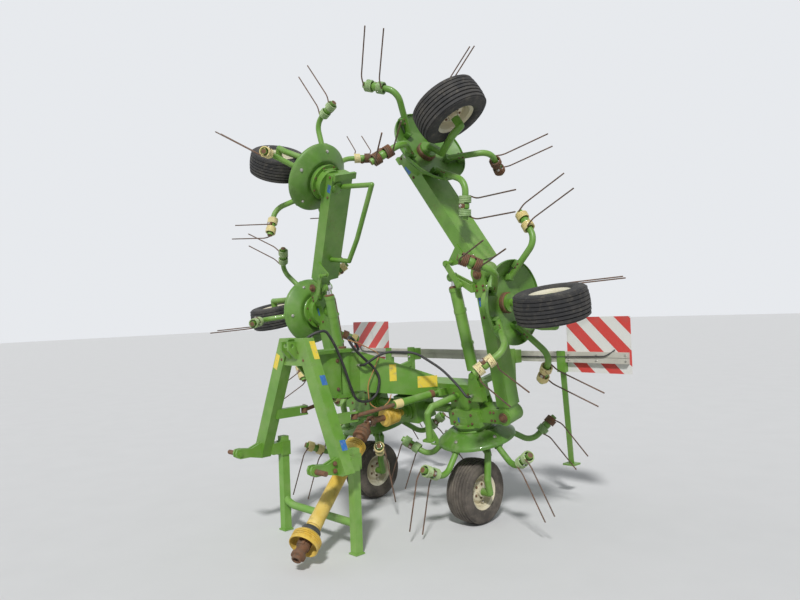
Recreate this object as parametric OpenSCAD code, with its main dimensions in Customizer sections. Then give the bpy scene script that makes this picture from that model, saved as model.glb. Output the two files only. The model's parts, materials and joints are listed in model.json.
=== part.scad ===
// Mounted hay tedder with six rotors, standing folded on its two middle wheels and its parking stand.
// +X is the machine's left side, -Y the direction of travel, +Z up, millimetres.
// The wings are drawn as they work, stretched out level, and are then folded into place.

/* [Rotor frame] */
// Distance between neighbouring rotor axes with the wings down
rotor_pitch = 1000; // [990:2:1010]
// Forward lean of the rotor frame, degrees
frame_lean = 12.5; // [11.5:0.5:13.5]
// Length of the transverse beam
center_beam_length = 1240; // [1220:5:1250]
// Height of the transverse beam's section
center_beam_height = 100; // [90:5:104]
// Depth of the transverse beam's section
center_beam_depth = 120; // [110:5:124]
// Height of the wing beams' section
wing_beam_height = 92; // [84:2:96]
// Depth of the wing beams' section
wing_beam_depth = 108; // [100:2:112]
// Level of the wing beams below the transverse beam
wing_beam_drop = 142; // [138:1:146]
// Thickness of the lug plates
plate = 10; // [8:1:12]

/* [Folding] */
// Distance of the inner fold pin from the middle of the machine
inner_fold_x = 803; // [798:1:808]
// Distance of the outer fold pin from the middle of the machine
outer_fold_x = 1691; // [1686:1:1696]
// How far the inner wing is folded up, degrees
inner_fold = 90; // [89:0.5:90]
// How far the outer wing is folded in from the inner wing, degrees
outer_fold = 29; // [27:1:31]
// Diameter of the fold pins
fold_pin_d = 40; // [34:1:44]
// Radius of the fold eyes
fold_eye_r = 52; // [48:1:54]
// Width of the fold eyes
fold_eye_w = 100; // [96:1:104]
// Thickness of the fold forks' cheeks
cheek = 16; // [12:1:18]

/* [Fold cylinder] */
// Diameter of the barrel
barrel_d = 70; // [62:1:74]
// Length of the barrel from the pin at its foot
barrel_length = 560; // [545:5:570]
// Diameter of the piston rod
piston_rod_d = 36; // [30:1:40]
// Diameter of the pins at both ends
cylinder_pin_d = 24; // [20:1:26]
// Distance of the cylinder ahead of the beam's middle
cylinder_ahead = 75; // [73:1:80]

/* [Rotors] */
// Depth of the disc's plane below the transverse beam
disc_drop = 250; // [247:1:254]
// Radius of the disc's rim
disc_r = 250; // [244:2:258]
// Radius of the disc's flat middle
disc_flat_r = 165; // [155:5:175]
// Fall of the disc's skirt
disc_fall = 58; // [50:2:62]
// Depth of the lip round the skirt
disc_lip = 18; // [12:1:20]
// Thickness of the disc's sheet
disc_sheet = 6; // [5:1:8]
// Number of tine arms on a rotor
arms = 5; // [5:1:6]
// Diameter of the arm tube
arm_d = 38; // [34:1:42]
// Slope of the arm where it leaves the disc, degrees
arm_slope = 38.6; // [36:0.2:40]
// Rise of the arm's end, degrees
arm_rise = 35; // [32:1:38]
// Bend radius of the arm
arm_bend = 90; // [84:2:96]
// Diameter of the tine wire
wire_d = 9.5; // [8:0.5:10]
// Outer diameter of a tine coil
coil_d = 74; // [70:1:78]
// Turns in each of an arm's two coils
coil_turns = 5; // [4:1:6]
// Length of the straight part of a tine
tine_length = 300; // [280:5:305]
// Lean of the tines outwards from the rotor axis, degrees
tine_lean = 28; // [26:1:30]

/* [Wheels] */
// Diameter of a tyre
tyre_d = 410; // [400:2:420]
// Width of a tyre
tyre_w = 172; // [166:2:176]
// Diameter of the rim's seat for the tyre
rim_d = 212; // [206:2:218]
// Depth of the wheel centre below the transverse beam
wheel_drop = 644; // [640:1:650]
// Distance of the wheel centre ahead of the rotor axis
wheel_lead = 106; // [102:1:110]
// Diameter of the wheel leg's tube
leg_d = 44; // [40:1:46]
// Diameter of the wheel's stub axle
stub_d = 30; // [25:1:32]

/* [Headstock] */
// Half the distance between the feet of the headstock's legs
hitch_half = 410; // [404:1:416]
// Diameter of the lower link pins
lower_pin_d = 28.4; // [28:0.1:28.7]
// Length of the free end of a lower link pin
lower_pin_length = 88; // [80:1:95]
// Diameter of the hole for the top link pin
top_hole_d = 25.7; // [25.4:0.1:26]
// Height of the lower link pins above the ground
lower_pin_z = 530; // [525:1:535]
// Height of the top link hole above the lower link pins
mast = 660; // [650:2:670]
// Diameter of the pin that the headstock swivels on
swivel_pin_d = 50; // [44:1:54]
// Height of the boom's bush on the swivel pin
bush_h = 260; // [250:2:270]
// Side of the stand's square tube
stand_tube = 50; // [46:1:54]
// Height of the stand's cross tube above the ground
stand_cross = 170; // [160:2:190]

/* [Drive shaft] */
// Diameter of the outer guard tube
guard_d = 84; // [80:1:88]
// Length of the shaft from its joint at the gearbox to its free end
shaft_length = 1080; // [1060:2:1100]
// Largest diameter of the guard's end bell
bell_d = 170; // [150:2:180]

/* [Light rack] */
// Length of the lamp bar
rack_length = 2620; // [2560:10:2640]
// Distance of the lamp bar behind the wheels
rack_y = 541; // [538:1:546]
// Height of the lamp bar
rack_z = 1030; // [1020:2:1040]
// Width of a warning board
board_w = 455; // [440:5:460]
// Height of a warning board
board_h = 360; // [340:5:366]

/* [Fits] */
// Radial running clearance of a pin in its bore
run_gap = 0.05; // [0.03:0.01:0.08]
// Clearance between seated pieces that move on each other
seat_gap = 0.3; // [0.2:0.1:0.4]

/* [Hidden] */
// Columns: name, side (left is 1), stage (0 middle, 1 inner wing, 2 outer wing),
// angle of the first arm from the outward direction, side of the wheel leg (outward is 1)
ROTORS = [
    ["left_1", 1, 0, 56, 1],
    ["left_2", 1, 1, 22, -1],
    ["left_3", 1, 2, 48, -1],
    ["right_1", -1, 0, 3, -1],
    ["right_2", -1, 1, 58, 1],
    ["right_3", -1, 2, 8, 1]
];
$fn = 32;

GREEN = "forestgreen";
RUST = "sienna";
STEEL = "silver";
CREAM = "wheat";
YELLOW = "goldenrod";
BLACK = "dimgray";
RED = "firebrick";
cut = 1;

// The part's origin lies under the middle of its outline, this far ahead of the wheels' line
middle_y = -195;

// The rotor frame's origin is the middle of the transverse beam
frame_z = tyre_d / 2 + wheel_drop * cos(frame_lean) + wheel_lead * sin(frame_lean);
frame_y = wheel_lead * cos(frame_lean) - wheel_drop * sin(frame_lean);
first_x = rotor_pitch / 2;
beam_front = -center_beam_depth / 2;
beam_under = -center_beam_height / 2;
wing_front = -wing_beam_depth / 2;
wing_rear = 136;
wing_top = wing_beam_height / 2 - wing_beam_drop;
wing_bottom = -wing_beam_height / 2 - wing_beam_drop;
stub_start = first_x - 120;
fold_clear = fold_eye_r + 10;
gear_r = 105;
gear_bottom = -disc_drop + 30;
gear_ring = 14;
axle_r = 35;
hub_h = 35;
hub_bottom = -disc_drop - hub_h;

// Arm centreline in its own plane: distance from the rotor axis and height over the disc
arm_root = [150, -30];
arm_first = 200;
arm_last = 155;
saddle_at = 215;
arm_curve = arm_root + arm_first * [cos(arm_slope), -sin(arm_slope)];
arm_turn = arm_curve + arm_bend * [sin(arm_slope) + sin(arm_rise), cos(arm_slope) - cos(arm_rise)];
coil_start = 12;
coil_w = 50;
clamp_w = 30;
tine_foot = 60;
tine_foot_lean = 50;

// Fold cylinder and fold link in the rotor frame, the head pin on the unfolded wing
cylinder_y = -cylinder_ahead;
cylinder_foot = [640, 120];
cylinder_head = [1690, 48];
cylinder_eye_w = 30;
cylinder_eye_r = 28;
lug_r = 25;
lug_in = cylinder_eye_w / 2 + seat_gap;
lug_out = lug_in + plate;
link_pin_low = [1643, -28];
link_pin_high = [1858, -23];
link_pin_r = 10;
link_w = 12;
link_y = -124;

// Guard bow of the right outer wing, x-z points
BOW = [[2501, wing_top - 10], [2626, 195], [2197, 136], [2002, 89], [1925, wing_top - 10]];

// Headstock
hitch_y = -1000;
leg_section = [90, 70];
leg_foot = [hitch_half, 500];
leg_head = [85, 1215];
leg_rear = hitch_y + leg_section[1] / 2;
leg_front = hitch_y - leg_section[1] / 2;
top_hole = [-1062, lower_pin_z + mast];
lower_pin_y = -1188;
yoke_in = hitch_half - 50;
yoke_out = hitch_half - 7;
swivel_y = -650;
bush_z = 870;
bush_r = 58;
swivel_plate = 20;
stand_x = 350;
stand_y = -880;
stand_top = 600;
sleeve_z = [480, 570];
sleeve_wall = 7;

// Swivel dampers, left side: the ball behind and the eye in front
damper_ball = [360, -160, 845];
damper_eye = [250, -780, 760];
damper_ball_r = 18;
damper_d = 48;
damper_rod_d = 24;
damper_barrel = 350;
damper_eye_h = 30;
damper_eye_r = 20;
damper_gap = 4;

// Drive shaft: the joint at the gearbox, and the direction to the free end close to the ground
neck_z = -wing_beam_drop;
neck_end = -150;
shaft_joint = [0, -460, 660];
shaft_way = [339, -813, -565] / norm([339, -813, -565]);
shaft_end = shaft_joint + shaft_length * shaft_way;
cross_r = 24;
guard_start = 290;
guard_end = 860;
guard_bore = 230;
guard_wall = 6;
inner_start = 430;
bell_start = 915;
bell_end = 960;
spline_r = 17.5;

// Light rack
rack_post = 40;
rack_post_x = 490;
rack_post_y = 443;
rack_top = 1085;
rack_plank = [34, 28];
board_x = 1095;
board_z = 1110;
board_t = 4;
rack_foot = [650, 890, 235];
rack_hip = [838, 541, 955];

// Turns the +Z direction of its children to run from p to q
module aim(p, q) {
    d = q - p;
    translate(p)
        rotate([0, acos(d[2] / norm(d)), atan2(d[1], d[0])])
            children();
}

module rod(p, q, d) {
    aim(p, q)
        cylinder(h = norm(q - p), d = d);
}

// A ball a little wider than the tube that ends in it
module knuckle(p, d) {
    translate(p)
        sphere(d = d + 0.5);
}

// A round tube through several points with ball corners
module tube_path(points, d) {
    for (i = [0:len(points) - 2])
        rod(points[i], points[i + 1], d);
    for (i = [1:len(points) - 2])
        knuckle(points[i], d);
}

// A block between two opposite corners
module block(low, high) {
    translate(low)
        cube(high - low);
}

// A plate in the x-z plane between two values of y, from a list of x-z points
module plate_xz(points, y0, y1) {
    translate([0, y1, 0])
        rotate([90, 0, 0])
            linear_extrude(height = y1 - y0)
                polygon(points);
}

// A plate in the y-z plane between two values of x, from a list of y-z points
module plate_yz(points, x0, x1) {
    translate([x0, 0, 0])
        rotate([90, 0, 90])
            linear_extrude(height = x1 - x0)
                polygon(points);
}

// A level plate between two heights, from a list of x-y points
module plate_xy(points, z0, z1) {
    translate([0, 0, z0])
        linear_extrude(height = z1 - z0)
            polygon(points);
}

// A cylinder along y through an x-z point, between two values of y
module drum_y(p, y0, y1, r) {
    translate([p[0], y1, p[1]])
        rotate([90, 0, 0])
            cylinder(h = y1 - y0, r = r);
}

// A cylinder along x through a y-z point, between two values of x
module drum_x(p, x0, x1, r) {
    translate([x0, p[0], p[1]])
        rotate([0, 90, 0])
            cylinder(h = x1 - x0, r = r);
}

module both_sides() {
    children();
    mirror([1, 0, 0])
        children();
}

// Coordinate frames: the ground, the leaning rotor frame, and the folded wings
module on_ground(side = 1) {
    translate([0, -middle_y, 0])
        mirror([side > 0 ? 0 : 1, 0, 0])
            children();
}

module on_frame(side = 1) {
    on_ground(side)
        translate([0, frame_y, frame_z])
            rotate([frame_lean, 0, 0])
                children();
}

module fold_about(x, angle) {
    translate([x, 0, -wing_beam_drop])
        rotate([0, -angle, 0])
            translate([-x, 0, wing_beam_drop])
                children();
}

module on_stage(side, stage) {
    on_frame(side)
        fold_about(inner_fold_x, stage > 0 ? inner_fold : 0)
            fold_about(outer_fold_x, stage > 1 ? outer_fold : 0)
                children();
}

// A point of the rotor frame in the ground's coordinates
function to_ground(p) = [
    p[0],
    frame_y + p[1] * cos(frame_lean) - p[2] * sin(frame_lean),
    frame_z + p[1] * sin(frame_lean) + p[2] * cos(frame_lean)
];

// Where an x-z point of the rotor frame goes when it is folded about a pin at x
function folded(p, x, angle) =
    let (d = [p[0] - x, p[1] + wing_beam_drop])
    [
        x + d[0] * cos(angle) - d[1] * sin(angle),
        d[0] * sin(angle) + d[1] * cos(angle) - wing_beam_drop
    ];

// Fold cylinder and fold link ends as they stand folded
head_pin = folded(cylinder_head, inner_fold_x, inner_fold);
link_low = folded(link_pin_low, inner_fold_x, inner_fold);
link_high = folded(folded(link_pin_high, outer_fold_x, outer_fold), inner_fold_x, inner_fold);

// Two cheek plates with round ends that carry a fold pin, reaching inwards to x0
module fold_fork(x0, x) {
    near = fold_eye_w / 2 + seat_gap;
    far = near + cheek;
    for (y0 = [near, -far]) {
        drum_y([x, -wing_beam_drop], y0, y0 + cheek, fold_eye_r);
        block([x0, y0, wing_bottom], [x, y0 + cheek, wing_top]);
    }
    drum_y([x, -wing_beam_drop], -far - 14, far + 14, fold_pin_d / 2);
    for (y0 = [far - 2, -far - 8])
        drum_y([x, -wing_beam_drop], y0, y0 + 10, fold_pin_d / 2 + 10);
}

// The eye between the cheeks, with a neck that reaches out to x1
module fold_eye(x, x1) {
    neck = wing_beam_height * 0.4;
    difference() {
        union() {
            drum_y([x, -wing_beam_drop], -fold_eye_w / 2, fold_eye_w / 2, fold_eye_r);
            block([x, -fold_eye_w / 2, -wing_beam_drop - neck], [x1, fold_eye_w / 2, -wing_beam_drop + neck]);
        }
        drum_y([x, -wing_beam_drop], -fold_eye_w, fold_eye_w, fold_pin_d / 2 + run_gap);
    }
}

// Gear housing over a rotor, hanging below a wing beam
module rotor_gear(x) {
    translate([x, 0, gear_bottom])
        cylinder(h = wing_bottom - gear_bottom + 30, r = gear_r);
    translate([x, 0, gear_bottom])
        cylinder(h = gear_ring, r = gear_r + 25);
    block([x - gear_r, wing_front, wing_bottom - 20], [x + gear_r, -wing_front, wing_bottom]);
}

module wing_beam(x0, x1) {
    block([x0, wing_front, wing_bottom], [x1, -wing_front, wing_top]);
}

// The pair of lug plates beside a cylinder eye, as two values of y each
module lug_pair(points, p) {
    for (y0 = [cylinder_y - lug_out, cylinder_y + lug_in]) {
        plate_xz(points, y0, y0 + plate);
        drum_y(p, y0, y0 + plate, lug_r);
    }
    drum_y(p, cylinder_y - lug_out - 5, cylinder_y - lug_out + 1, cylinder_pin_d / 2 + 2);
}

module center_beam() color(GREEN) {
    on_frame()
        block([-center_beam_length / 2, beam_front, beam_under],
            [center_beam_length / 2, -beam_front, -beam_under]);
    for (side = [-1, 1])
        on_frame(side) {
            // Beam stub that carries the rotor's gear housing and the fold fork
            wing_beam(stub_start, inner_fold_x - fold_clear);
            fold_fork(first_x + gear_r, inner_fold_x);
            rotor_gear(first_x);
            // Side plates tie the stub to the transverse beam
            for (y0 = [beam_front - plate, -beam_front])
                plate_xz([[first_x - 90, 30], [first_x + 100, 30], [first_x + 135, wing_top - 30],
                    [first_x - 110, wing_top - 30]], y0, y0 + plate);
            block([first_x - 70, beam_front - 1, wing_top - 1],
                [first_x + 90, -beam_front + 1, beam_under + 1]);
            // Cast gear case round the beam stub
            block([stub_start + 6, -100, wing_bottom - 27], [first_x + 130, 90, wing_top - 14]);
            // Tower of the fold cylinder, its foot in front of the beam's end
            block([590, cylinder_y - lug_out, -40], [690, beam_front, 40]);
            block([590, beam_front, beam_under], [690, cylinder_y + lug_in + plate, 40]);
            lug_pair([[590, -40], [690, -40], [690, 40], cylinder_foot + [24, 6], cylinder_foot + [-24, 6],
                [590, 40]], cylinder_foot);
            drum_y(cylinder_foot, cylinder_y - lug_out, cylinder_y + lug_out, cylinder_pin_d / 2);
        }
    // Cups of the two dampers
    for (side = [-1, 1])
        difference() {
            on_ground(side)
                difference() {
                    union() {
                        translate(damper_ball - [0, 0, 22])
                            cylinder(h = 44, r = 28);
                        block(damper_ball - [26, 0, 22], damper_ball + [26, 70, 22]);
                    }
                    translate(damper_ball)
                        sphere(r = damper_ball_r + seat_gap);
                    block(damper_ball - [damper_ball_r, 40, 40], damper_ball + [damper_ball_r, 0, 40]);
                }
            on_frame(side)
                block([0, 0, -200], [600, 100, 200]);
        }
}

module boom() color(GREEN) {
    top = bush_z + bush_h;
    difference() {
        on_ground()
            difference() {
                union() {
                    // Seen from the side it gets lower towards the beam, and from above it flares out
                    intersection() {
                        plate_yz([[swivel_y, bush_z + 8], [swivel_y, top - 8], [-540, top - 8], [-60, 918],
                            [-60, 800], [-520, bush_z - 6], [-540, bush_z + 8]], -400, 400);
                        plate_xy([[-55, -700], [55, -700], [55, -560], [341, -40], [-341, -40], [-55, -560]],
                            700, 1300);
                    }
                    translate([0, swivel_y, bush_z])
                        cylinder(h = bush_h, r = bush_r);
                }
                translate([0, swivel_y, bush_z - cut])
                    cylinder(h = bush_h + 2 * cut, d = swivel_pin_d + 2 * run_gap);
            }
        // The boom ends flat against the transverse beam
        on_frame()
            block([-400, beam_front, -400], [400, 400, 400]);
    }
}

module main_gearbox() color(GREEN) on_frame() {
    block([-100, -110, -230], [100, 70, beam_under]);
    for (x = [[-stub_start, -100], [100, stub_start]])
        drum_x([0, -wing_beam_drop], x[0], x[1], 30);
    for (x = [-stub_start, stub_start - 16])
        drum_x([0, -wing_beam_drop], x, x + 16, 42);
    // Input neck
    drum_y([0, neck_z], neck_end, -110, 45);
    drum_y([0, neck_z], -122, -110, 70);
}

module drive_shaft() color(YELLOW) {
    start = to_ground([0, neck_end - 30, neck_z]);
    length = norm(shaft_joint - start);
    on_frame()
        drum_y([0, neck_z], neck_end - 30, neck_end, 22);
    on_ground()
        difference() {
            union() {
                translate(start)
                    sphere(r = 26);
                aim(start, shaft_joint) {
                    cylinder(h = length, r = 20);
                    // Ribbed guard cone
                    translate([0, 0, 20])
                        rotate_extrude()
                            polygon(concat(
                                [[19, 0], [40, 0]],
                                [for (i = [0:3], c = [[0, 0], [-6, 12]])
                                    [50 + i * 3 + c[0], 10 + i * 24 + c[1]]],
                                [[62, 106], [50, 118], [19, 118]]
                            ));
                    translate([0, 0, length - 46])
                        cylinder(h = 30, r = 34);
                }
            }
            translate(shaft_joint)
                sphere(r = cross_r + seat_gap);
        }
}

module pto_guard() color(YELLOW) on_ground()
    aim(shaft_joint, shaft_end)
        difference() {
            union() {
                sphere(r = cross_r);
                cylinder(h = 80, r = 18);
                translate([0, 0, 40])
                    cylinder(h = 30, r = 34);
                // Overload clutch between the joint and the guard
                translate([0, 0, 76])
                    cylinder(h = 70, r = 50);
                translate([0, 0, 140])
                    cylinder(h = 70, r = 26);
                translate([0, 0, guard_start - 86])
                    rotate_extrude()
                        polygon([[0, 0], [64, 0], [68, 8], [60, 18], [66, 26], [58, 36], [60, 46], [50, 62],
                            [guard_d / 2 + 6, 86], [guard_d / 2 + 6, 92], [0, 92]]);
                translate([0, 0, guard_start])
                    cylinder(h = guard_end - guard_start, d = guard_d);
            }
            translate([0, 0, guard_bore])
                cylinder(h = guard_end, d = guard_d - 2 * guard_wall);
        }

module pto_inner() color(YELLOW) on_ground()
    aim(shaft_joint, shaft_end)
        difference() {
            union() {
                translate([0, 0, inner_start])
                    cylinder(h = bell_start - inner_start, d = guard_d - 2 * guard_wall - 2 * run_gap);
                // Collar, ribbed bell and yoke
                translate([0, 0, bell_start - 34])
                    cylinder(h = 34, r = bell_d / 2 - 28);
                translate([0, 0, bell_start])
                    rotate_extrude()
                        polygon([[0, 0], [bell_d / 2 - 20, 0], [bell_d / 2 - 4, 14], [bell_d / 2, 24],
                            [bell_d / 2 - 7, 31], [bell_d / 2, 38], [bell_d / 2 - 7, 46], [bell_d / 2, 54],
                            [bell_d / 2, 76], [bell_d / 2 - 6, 76], [bell_d / 2 - 12, 40], [52, 40],
                            [52, bell_end - bell_start], [0, bell_end - bell_start]]);
                translate([0, 0, bell_end])
                    cylinder(h = shaft_length - bell_end, r = 41);
            }
            translate([0, 0, bell_end + 30])
                cylinder(h = 200, r = spline_r);
        }

module damper(side) color(GREEN) on_ground(side)
    aim(damper_ball, damper_eye)
        difference() {
            union() {
                sphere(r = damper_ball_r);
                cylinder(h = 50, r = 12);
                translate([0, 0, 44])
                    cylinder(h = damper_barrel - 44, d = damper_d);
            }
            translate([0, 0, 70])
                cylinder(h = damper_barrel, d = damper_rod_d + 2 * run_gap);
        }

module damper_rod(side) color(RUST) on_ground(side) {
    aim(damper_ball, damper_eye)
        translate([0, 0, 150])
            cylinder(h = norm(damper_eye - damper_ball) - 150, d = damper_rod_d);
    translate(damper_eye - [0, 0, damper_eye_h / 2])
        cylinder(h = damper_eye_h, r = damper_eye_r);
}

module wing_inner(side) color(GREEN) on_stage(side, 1) {
    x0 = link_pin_low[0] - 53;
    fold_eye(inner_fold_x, inner_fold_x + fold_clear + 20);
    wing_beam(inner_fold_x + fold_clear, outer_fold_x - fold_clear + 5);
    fold_fork(outer_fold_x - 140, outer_fold_x);
    rotor_gear(first_x + rotor_pitch);
    // Lugs of the fold cylinder's head, with the pin of the fold link in front
    lug_pair([[x0, wing_top - 20], [x0, wing_top], [x0 + 74, 10], cylinder_head + [-8, 24],
        cylinder_head + [24, 0], [x0 + 50, wing_top], [x0 + 50, wing_top - 20]], cylinder_head);
    block([x0, cylinder_y - lug_out, wing_top - 20], [x0 + 50, wing_front, wing_top]);
    block([x0, wing_front - 1, wing_top - 1], [x0 + 44, cylinder_y + lug_out, wing_top + 16]);
    drum_y(link_pin_low, link_y - 7, cylinder_y - lug_out + 1, link_pin_r);
    drum_y(link_pin_low, link_y + link_w + seat_gap, cylinder_y - lug_out + 1, link_pin_r + 7);
    drum_y(link_pin_low, link_y - 6, link_y - seat_gap, link_pin_r + 5);
}

module wing_outer(side) color(GREEN) on_stage(side, 2) {
    fold_eye(outer_fold_x, outer_fold_x + fold_clear + 20);
    tip = first_x + 2 * rotor_pitch + 90;
    block([outer_fold_x + fold_clear, wing_front, wing_bottom], [tip, wing_rear, wing_top]);
    block([tip - 30, wing_front + 4, wing_top - 1], [tip + 16, wing_rear + 12, wing_top + 22]);
    rotor_gear(first_x + 2 * rotor_pitch);
    // Lug that the fold link pulls on
    plate_xz([[link_pin_high[0] - 70, wing_top - 30], [link_pin_high[0] - 22, link_pin_high[1] + 6],
        [link_pin_high[0] + 22, link_pin_high[1] + 6], [link_pin_high[0] + 60, wing_top - 30]],
        wing_front - plate, wing_front);
    drum_y(link_pin_high, wing_front - plate, wing_front, 24);
    // Guard bow over the right wing's beam
    if (side < 0)
        tube_path([for (p = BOW) [p[0], 40, p[1]]], 35);
}

module fold_link(side) color(GREEN) on_frame(side) {
    way = (link_high - link_low) / norm(link_high - link_low);
    off = 18 * [-way[1], way[0]];
    difference() {
        union() {
            drum_y(link_low, link_y, link_y + link_w, 20);
            drum_y(link_high, link_y, link_y + link_w, 20);
            plate_xz([link_low + off, link_low - off, link_high - off, link_high + off],
                link_y, link_y + link_w);
            drum_y(link_high, link_y - 6, wing_front - plate - seat_gap, link_pin_r + 2);
        }
        drum_y(link_low, link_y - 20, link_y + 20, link_pin_r + run_gap);
    }
}

module fold_cylinder(side) color(GREEN) on_frame(side) {
    p = [cylinder_foot[0], cylinder_y, cylinder_foot[1]];
    q = [head_pin[0], cylinder_y, head_pin[1]];
    difference() {
        union() {
            drum_y(cylinder_foot, cylinder_y - cylinder_eye_w / 2, cylinder_y + cylinder_eye_w / 2,
                cylinder_eye_r);
            aim(p, q) {
                translate([0, 0, 20])
                    cylinder(h = 30, d = cylinder_eye_w - 2);
                translate([0, 0, 40])
                    cylinder(h = barrel_length - 40, d = barrel_d);
                translate([0, 0, barrel_length - 24])
                    cylinder(h = 24, d = barrel_d + 6);
            }
        }
        drum_y(cylinder_foot, cylinder_y - 20, cylinder_y + 20, cylinder_pin_d / 2 + run_gap);
        aim(p, q)
            translate([0, 0, 60])
                cylinder(h = barrel_length, d = piston_rod_d + 2 * run_gap);
    }
}

module fold_rod(side) color(STEEL) on_frame(side) {
    p = [cylinder_foot[0], cylinder_y, cylinder_foot[1]];
    q = [head_pin[0], cylinder_y, head_pin[1]];
    aim(p, q)
        translate([0, 0, 70])
            cylinder(h = norm(q - p) - 108, d = piston_rod_d);
    aim(p, q)
        translate([0, 0, norm(q - p) - 50])
            cylinder(h = 45, d = cylinder_eye_w - 2);
    drum_y(head_pin, cylinder_y - cylinder_eye_w / 2, cylinder_y + cylinder_eye_w / 2, cylinder_eye_r);
}

// One coil of the tine spring, ribbed like its turns
module coil() {
    turn = coil_w / coil_turns;
    rotate_extrude()
        polygon(concat(
            [[arm_d / 2 - 2, 0]],
            [for (i = [0:coil_turns - 1], c = [[-5, 0], [0, 0.3], [0, 0.7], [-5, 1]])
                if (i == 0 || c[1] > 0)
                    [coil_d / 2 + c[0], (i + c[1]) * turn]],
            [[arm_d / 2 - 2, coil_w]]
        ));
}

// Bent wire of a tine that leaves its coil at a distance s along the arm's end
module tine(s) {
    way = [sin(tine_lean), 0, -cos(tine_lean)];
    p0 = [arm_turn[0] + s * cos(arm_rise), -coil_d / 2 + wire_d / 2 + 3, arm_turn[1] + s * sin(arm_rise)];
    p1 = p0 + tine_foot * [sin(tine_foot_lean), 0, -cos(tine_foot_lean)];
    rod(p0, p1, wire_d);
    rod(p1 - wire_d / 3 * way, p1 + tine_length * way, wire_d);
}

module tine_arm() {
    second = coil_start + coil_w + clamp_w;
    rod([arm_root[0], 0, arm_root[1]], [arm_curve[0], 0, arm_curve[1]], arm_d);
    // The bend, turned about the centre that lies over the arm
    translate([arm_curve[0] + arm_bend * sin(arm_slope), 0, arm_curve[1] + arm_bend * cos(arm_slope)])
        rotate([90, 0, 0])
            rotate([0, 0, -90 - arm_slope])
                rotate_extrude(angle = arm_slope + arm_rise)
                    translate([arm_bend, 0])
                        circle(d = arm_d);
    knuckle([arm_curve[0], 0, arm_curve[1]], arm_d);
    knuckle([arm_turn[0], 0, arm_turn[1]], arm_d);
    translate([arm_turn[0], 0, arm_turn[1]])
        rotate([0, 90 - arm_rise, 0]) {
            cylinder(h = arm_last, d = arm_d);
            for (s = [coil_start, second])
                translate([0, 0, s])
                    coil();
            translate([0, 0, coil_start + coil_w - 1])
                cylinder(h = clamp_w + 2, d = arm_d + 16);
        }
    tine(coil_start + wire_d / 2);
    tine(second + coil_w - wire_d / 2);
    // Root bracket under the disc and the saddle that bolts the arm to its skirt
    block([132, -24, arm_root[1] - 14], [168, 24, -disc_sheet + 1]);
    translate([saddle_at, 0, arm_root[1] - (saddle_at - arm_root[0]) * tan(arm_slope)])
        rotate([0, arm_slope, 0])
            block([-23, -27, -5], [23, 27, 36]);
}

module rotor(r) color(GREEN) on_stage(r[1], r[2])
    translate([first_x + r[2] * rotor_pitch, 0, -disc_drop])
        difference() {
            union() {
                cylinder(h = 30 - seat_gap, r = 112);
                rotate_extrude()
                    polygon([[20, 0], [disc_flat_r, 0], [disc_r, -disc_fall], [disc_r, -disc_fall - disc_lip],
                        [disc_r - disc_sheet, -disc_fall - disc_lip], [disc_r - disc_sheet, -disc_fall - 2],
                        [disc_flat_r - 3, -disc_sheet], [20, -disc_sheet]]);
                translate([0, 0, -hub_h])
                    cylinder(h = hub_h, r = 62);
                for (i = [0:arms - 1])
                    rotate([0, 0, r[3] + i * 360 / arms])
                        tine_arm();
            }
            translate([0, 0, -100])
                cylinder(h = 200, r = axle_r + run_gap);
        }

// Columns of a wheel leg's bends: share of the way out, distance ahead, height in the rotor frame
LEG_BENDS = [[0, 0, hub_bottom - 12], [0, 0, hub_bottom - 36], [0.95, -50, -400],
    [1, -wheel_lead, -560], [1, -wheel_lead, -wheel_drop]];
leg_x = tyre_w / 2 + leg_d / 2 + 10;
hub_out = 60;
hub_in = -52;

module wheel_leg(r) color(GREEN) on_stage(r[1], r[2])
    translate([first_x + r[2] * rotor_pitch, 0, 0])
        mirror([r[4] > 0 ? 0 : 1, 0, 0]) {
            translate([0, 0, hub_bottom - 12])
                cylinder(h = gear_bottom - hub_bottom + 12, r = axle_r);
            translate([0, 0, hub_bottom - 14])
                cylinder(h = 14 - seat_gap, r = 54);
            tube_path([for (b = LEG_BENDS) [b[0] * leg_x, b[1], b[2]]], leg_d);
            translate([leg_x, -wheel_lead, -wheel_drop])
                sphere(d = leg_d);
            drum_x([-wheel_lead, -wheel_drop], hub_in - seat_gap - 8, leg_x, stub_d / 2);
            drum_x([-wheel_lead, -wheel_drop], hub_out + seat_gap, leg_x - 8, stub_d / 2 + 9);
            drum_x([-wheel_lead, -wheel_drop], hub_in - seat_gap - 8, hub_in - seat_gap, stub_d / 2 + 8);
        }

// A wheel piece about its own axle, which runs along x
module on_axle(r) {
    on_stage(r[1], r[2])
        translate([first_x + r[2] * rotor_pitch, -wheel_lead, -wheel_drop])
            mirror([r[4] > 0 ? 0 : 1, 0, 0])
                rotate([0, 90, 0])
                    children();
}

module tyre(r) color(BLACK) on_axle(r) {
    t = tyre_d / 2;
    w = tyre_w / 2;
    half = [[rim_d / 2, 62], [rim_d / 2 + 14, w - 8], [t - 58, w], [t - 28, w - 3], [t - 10, w - 14],
        [t - 2, w - 34], [t, w - 60]];
    rotate_extrude()
        polygon(concat(
            half,
            [for (i = [len(half) - 1:-1:0]) [half[i][0], -half[i][1]]]
        ));
}

module rim(r) color(CREAM) on_axle(r) {
    seat = rim_d / 2;
    bore = stub_d / 2 + run_gap;
    rotate_extrude()
        polygon([
            [bore, hub_in], [bore + 17, hub_in], [bore + 17, 24], [60, 24], [72, 8], [86, 8],
            [seat - 14, -40], [seat - 9, -62], [seat, -62], [seat, 62], [seat - 9, 62], [seat - 13, 44],
            [seat - 16, 16], [70, 18], [60, 34], [bore + 17, 34], [bore + 17, hub_out], [bore, hub_out]
        ]);
}

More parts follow.
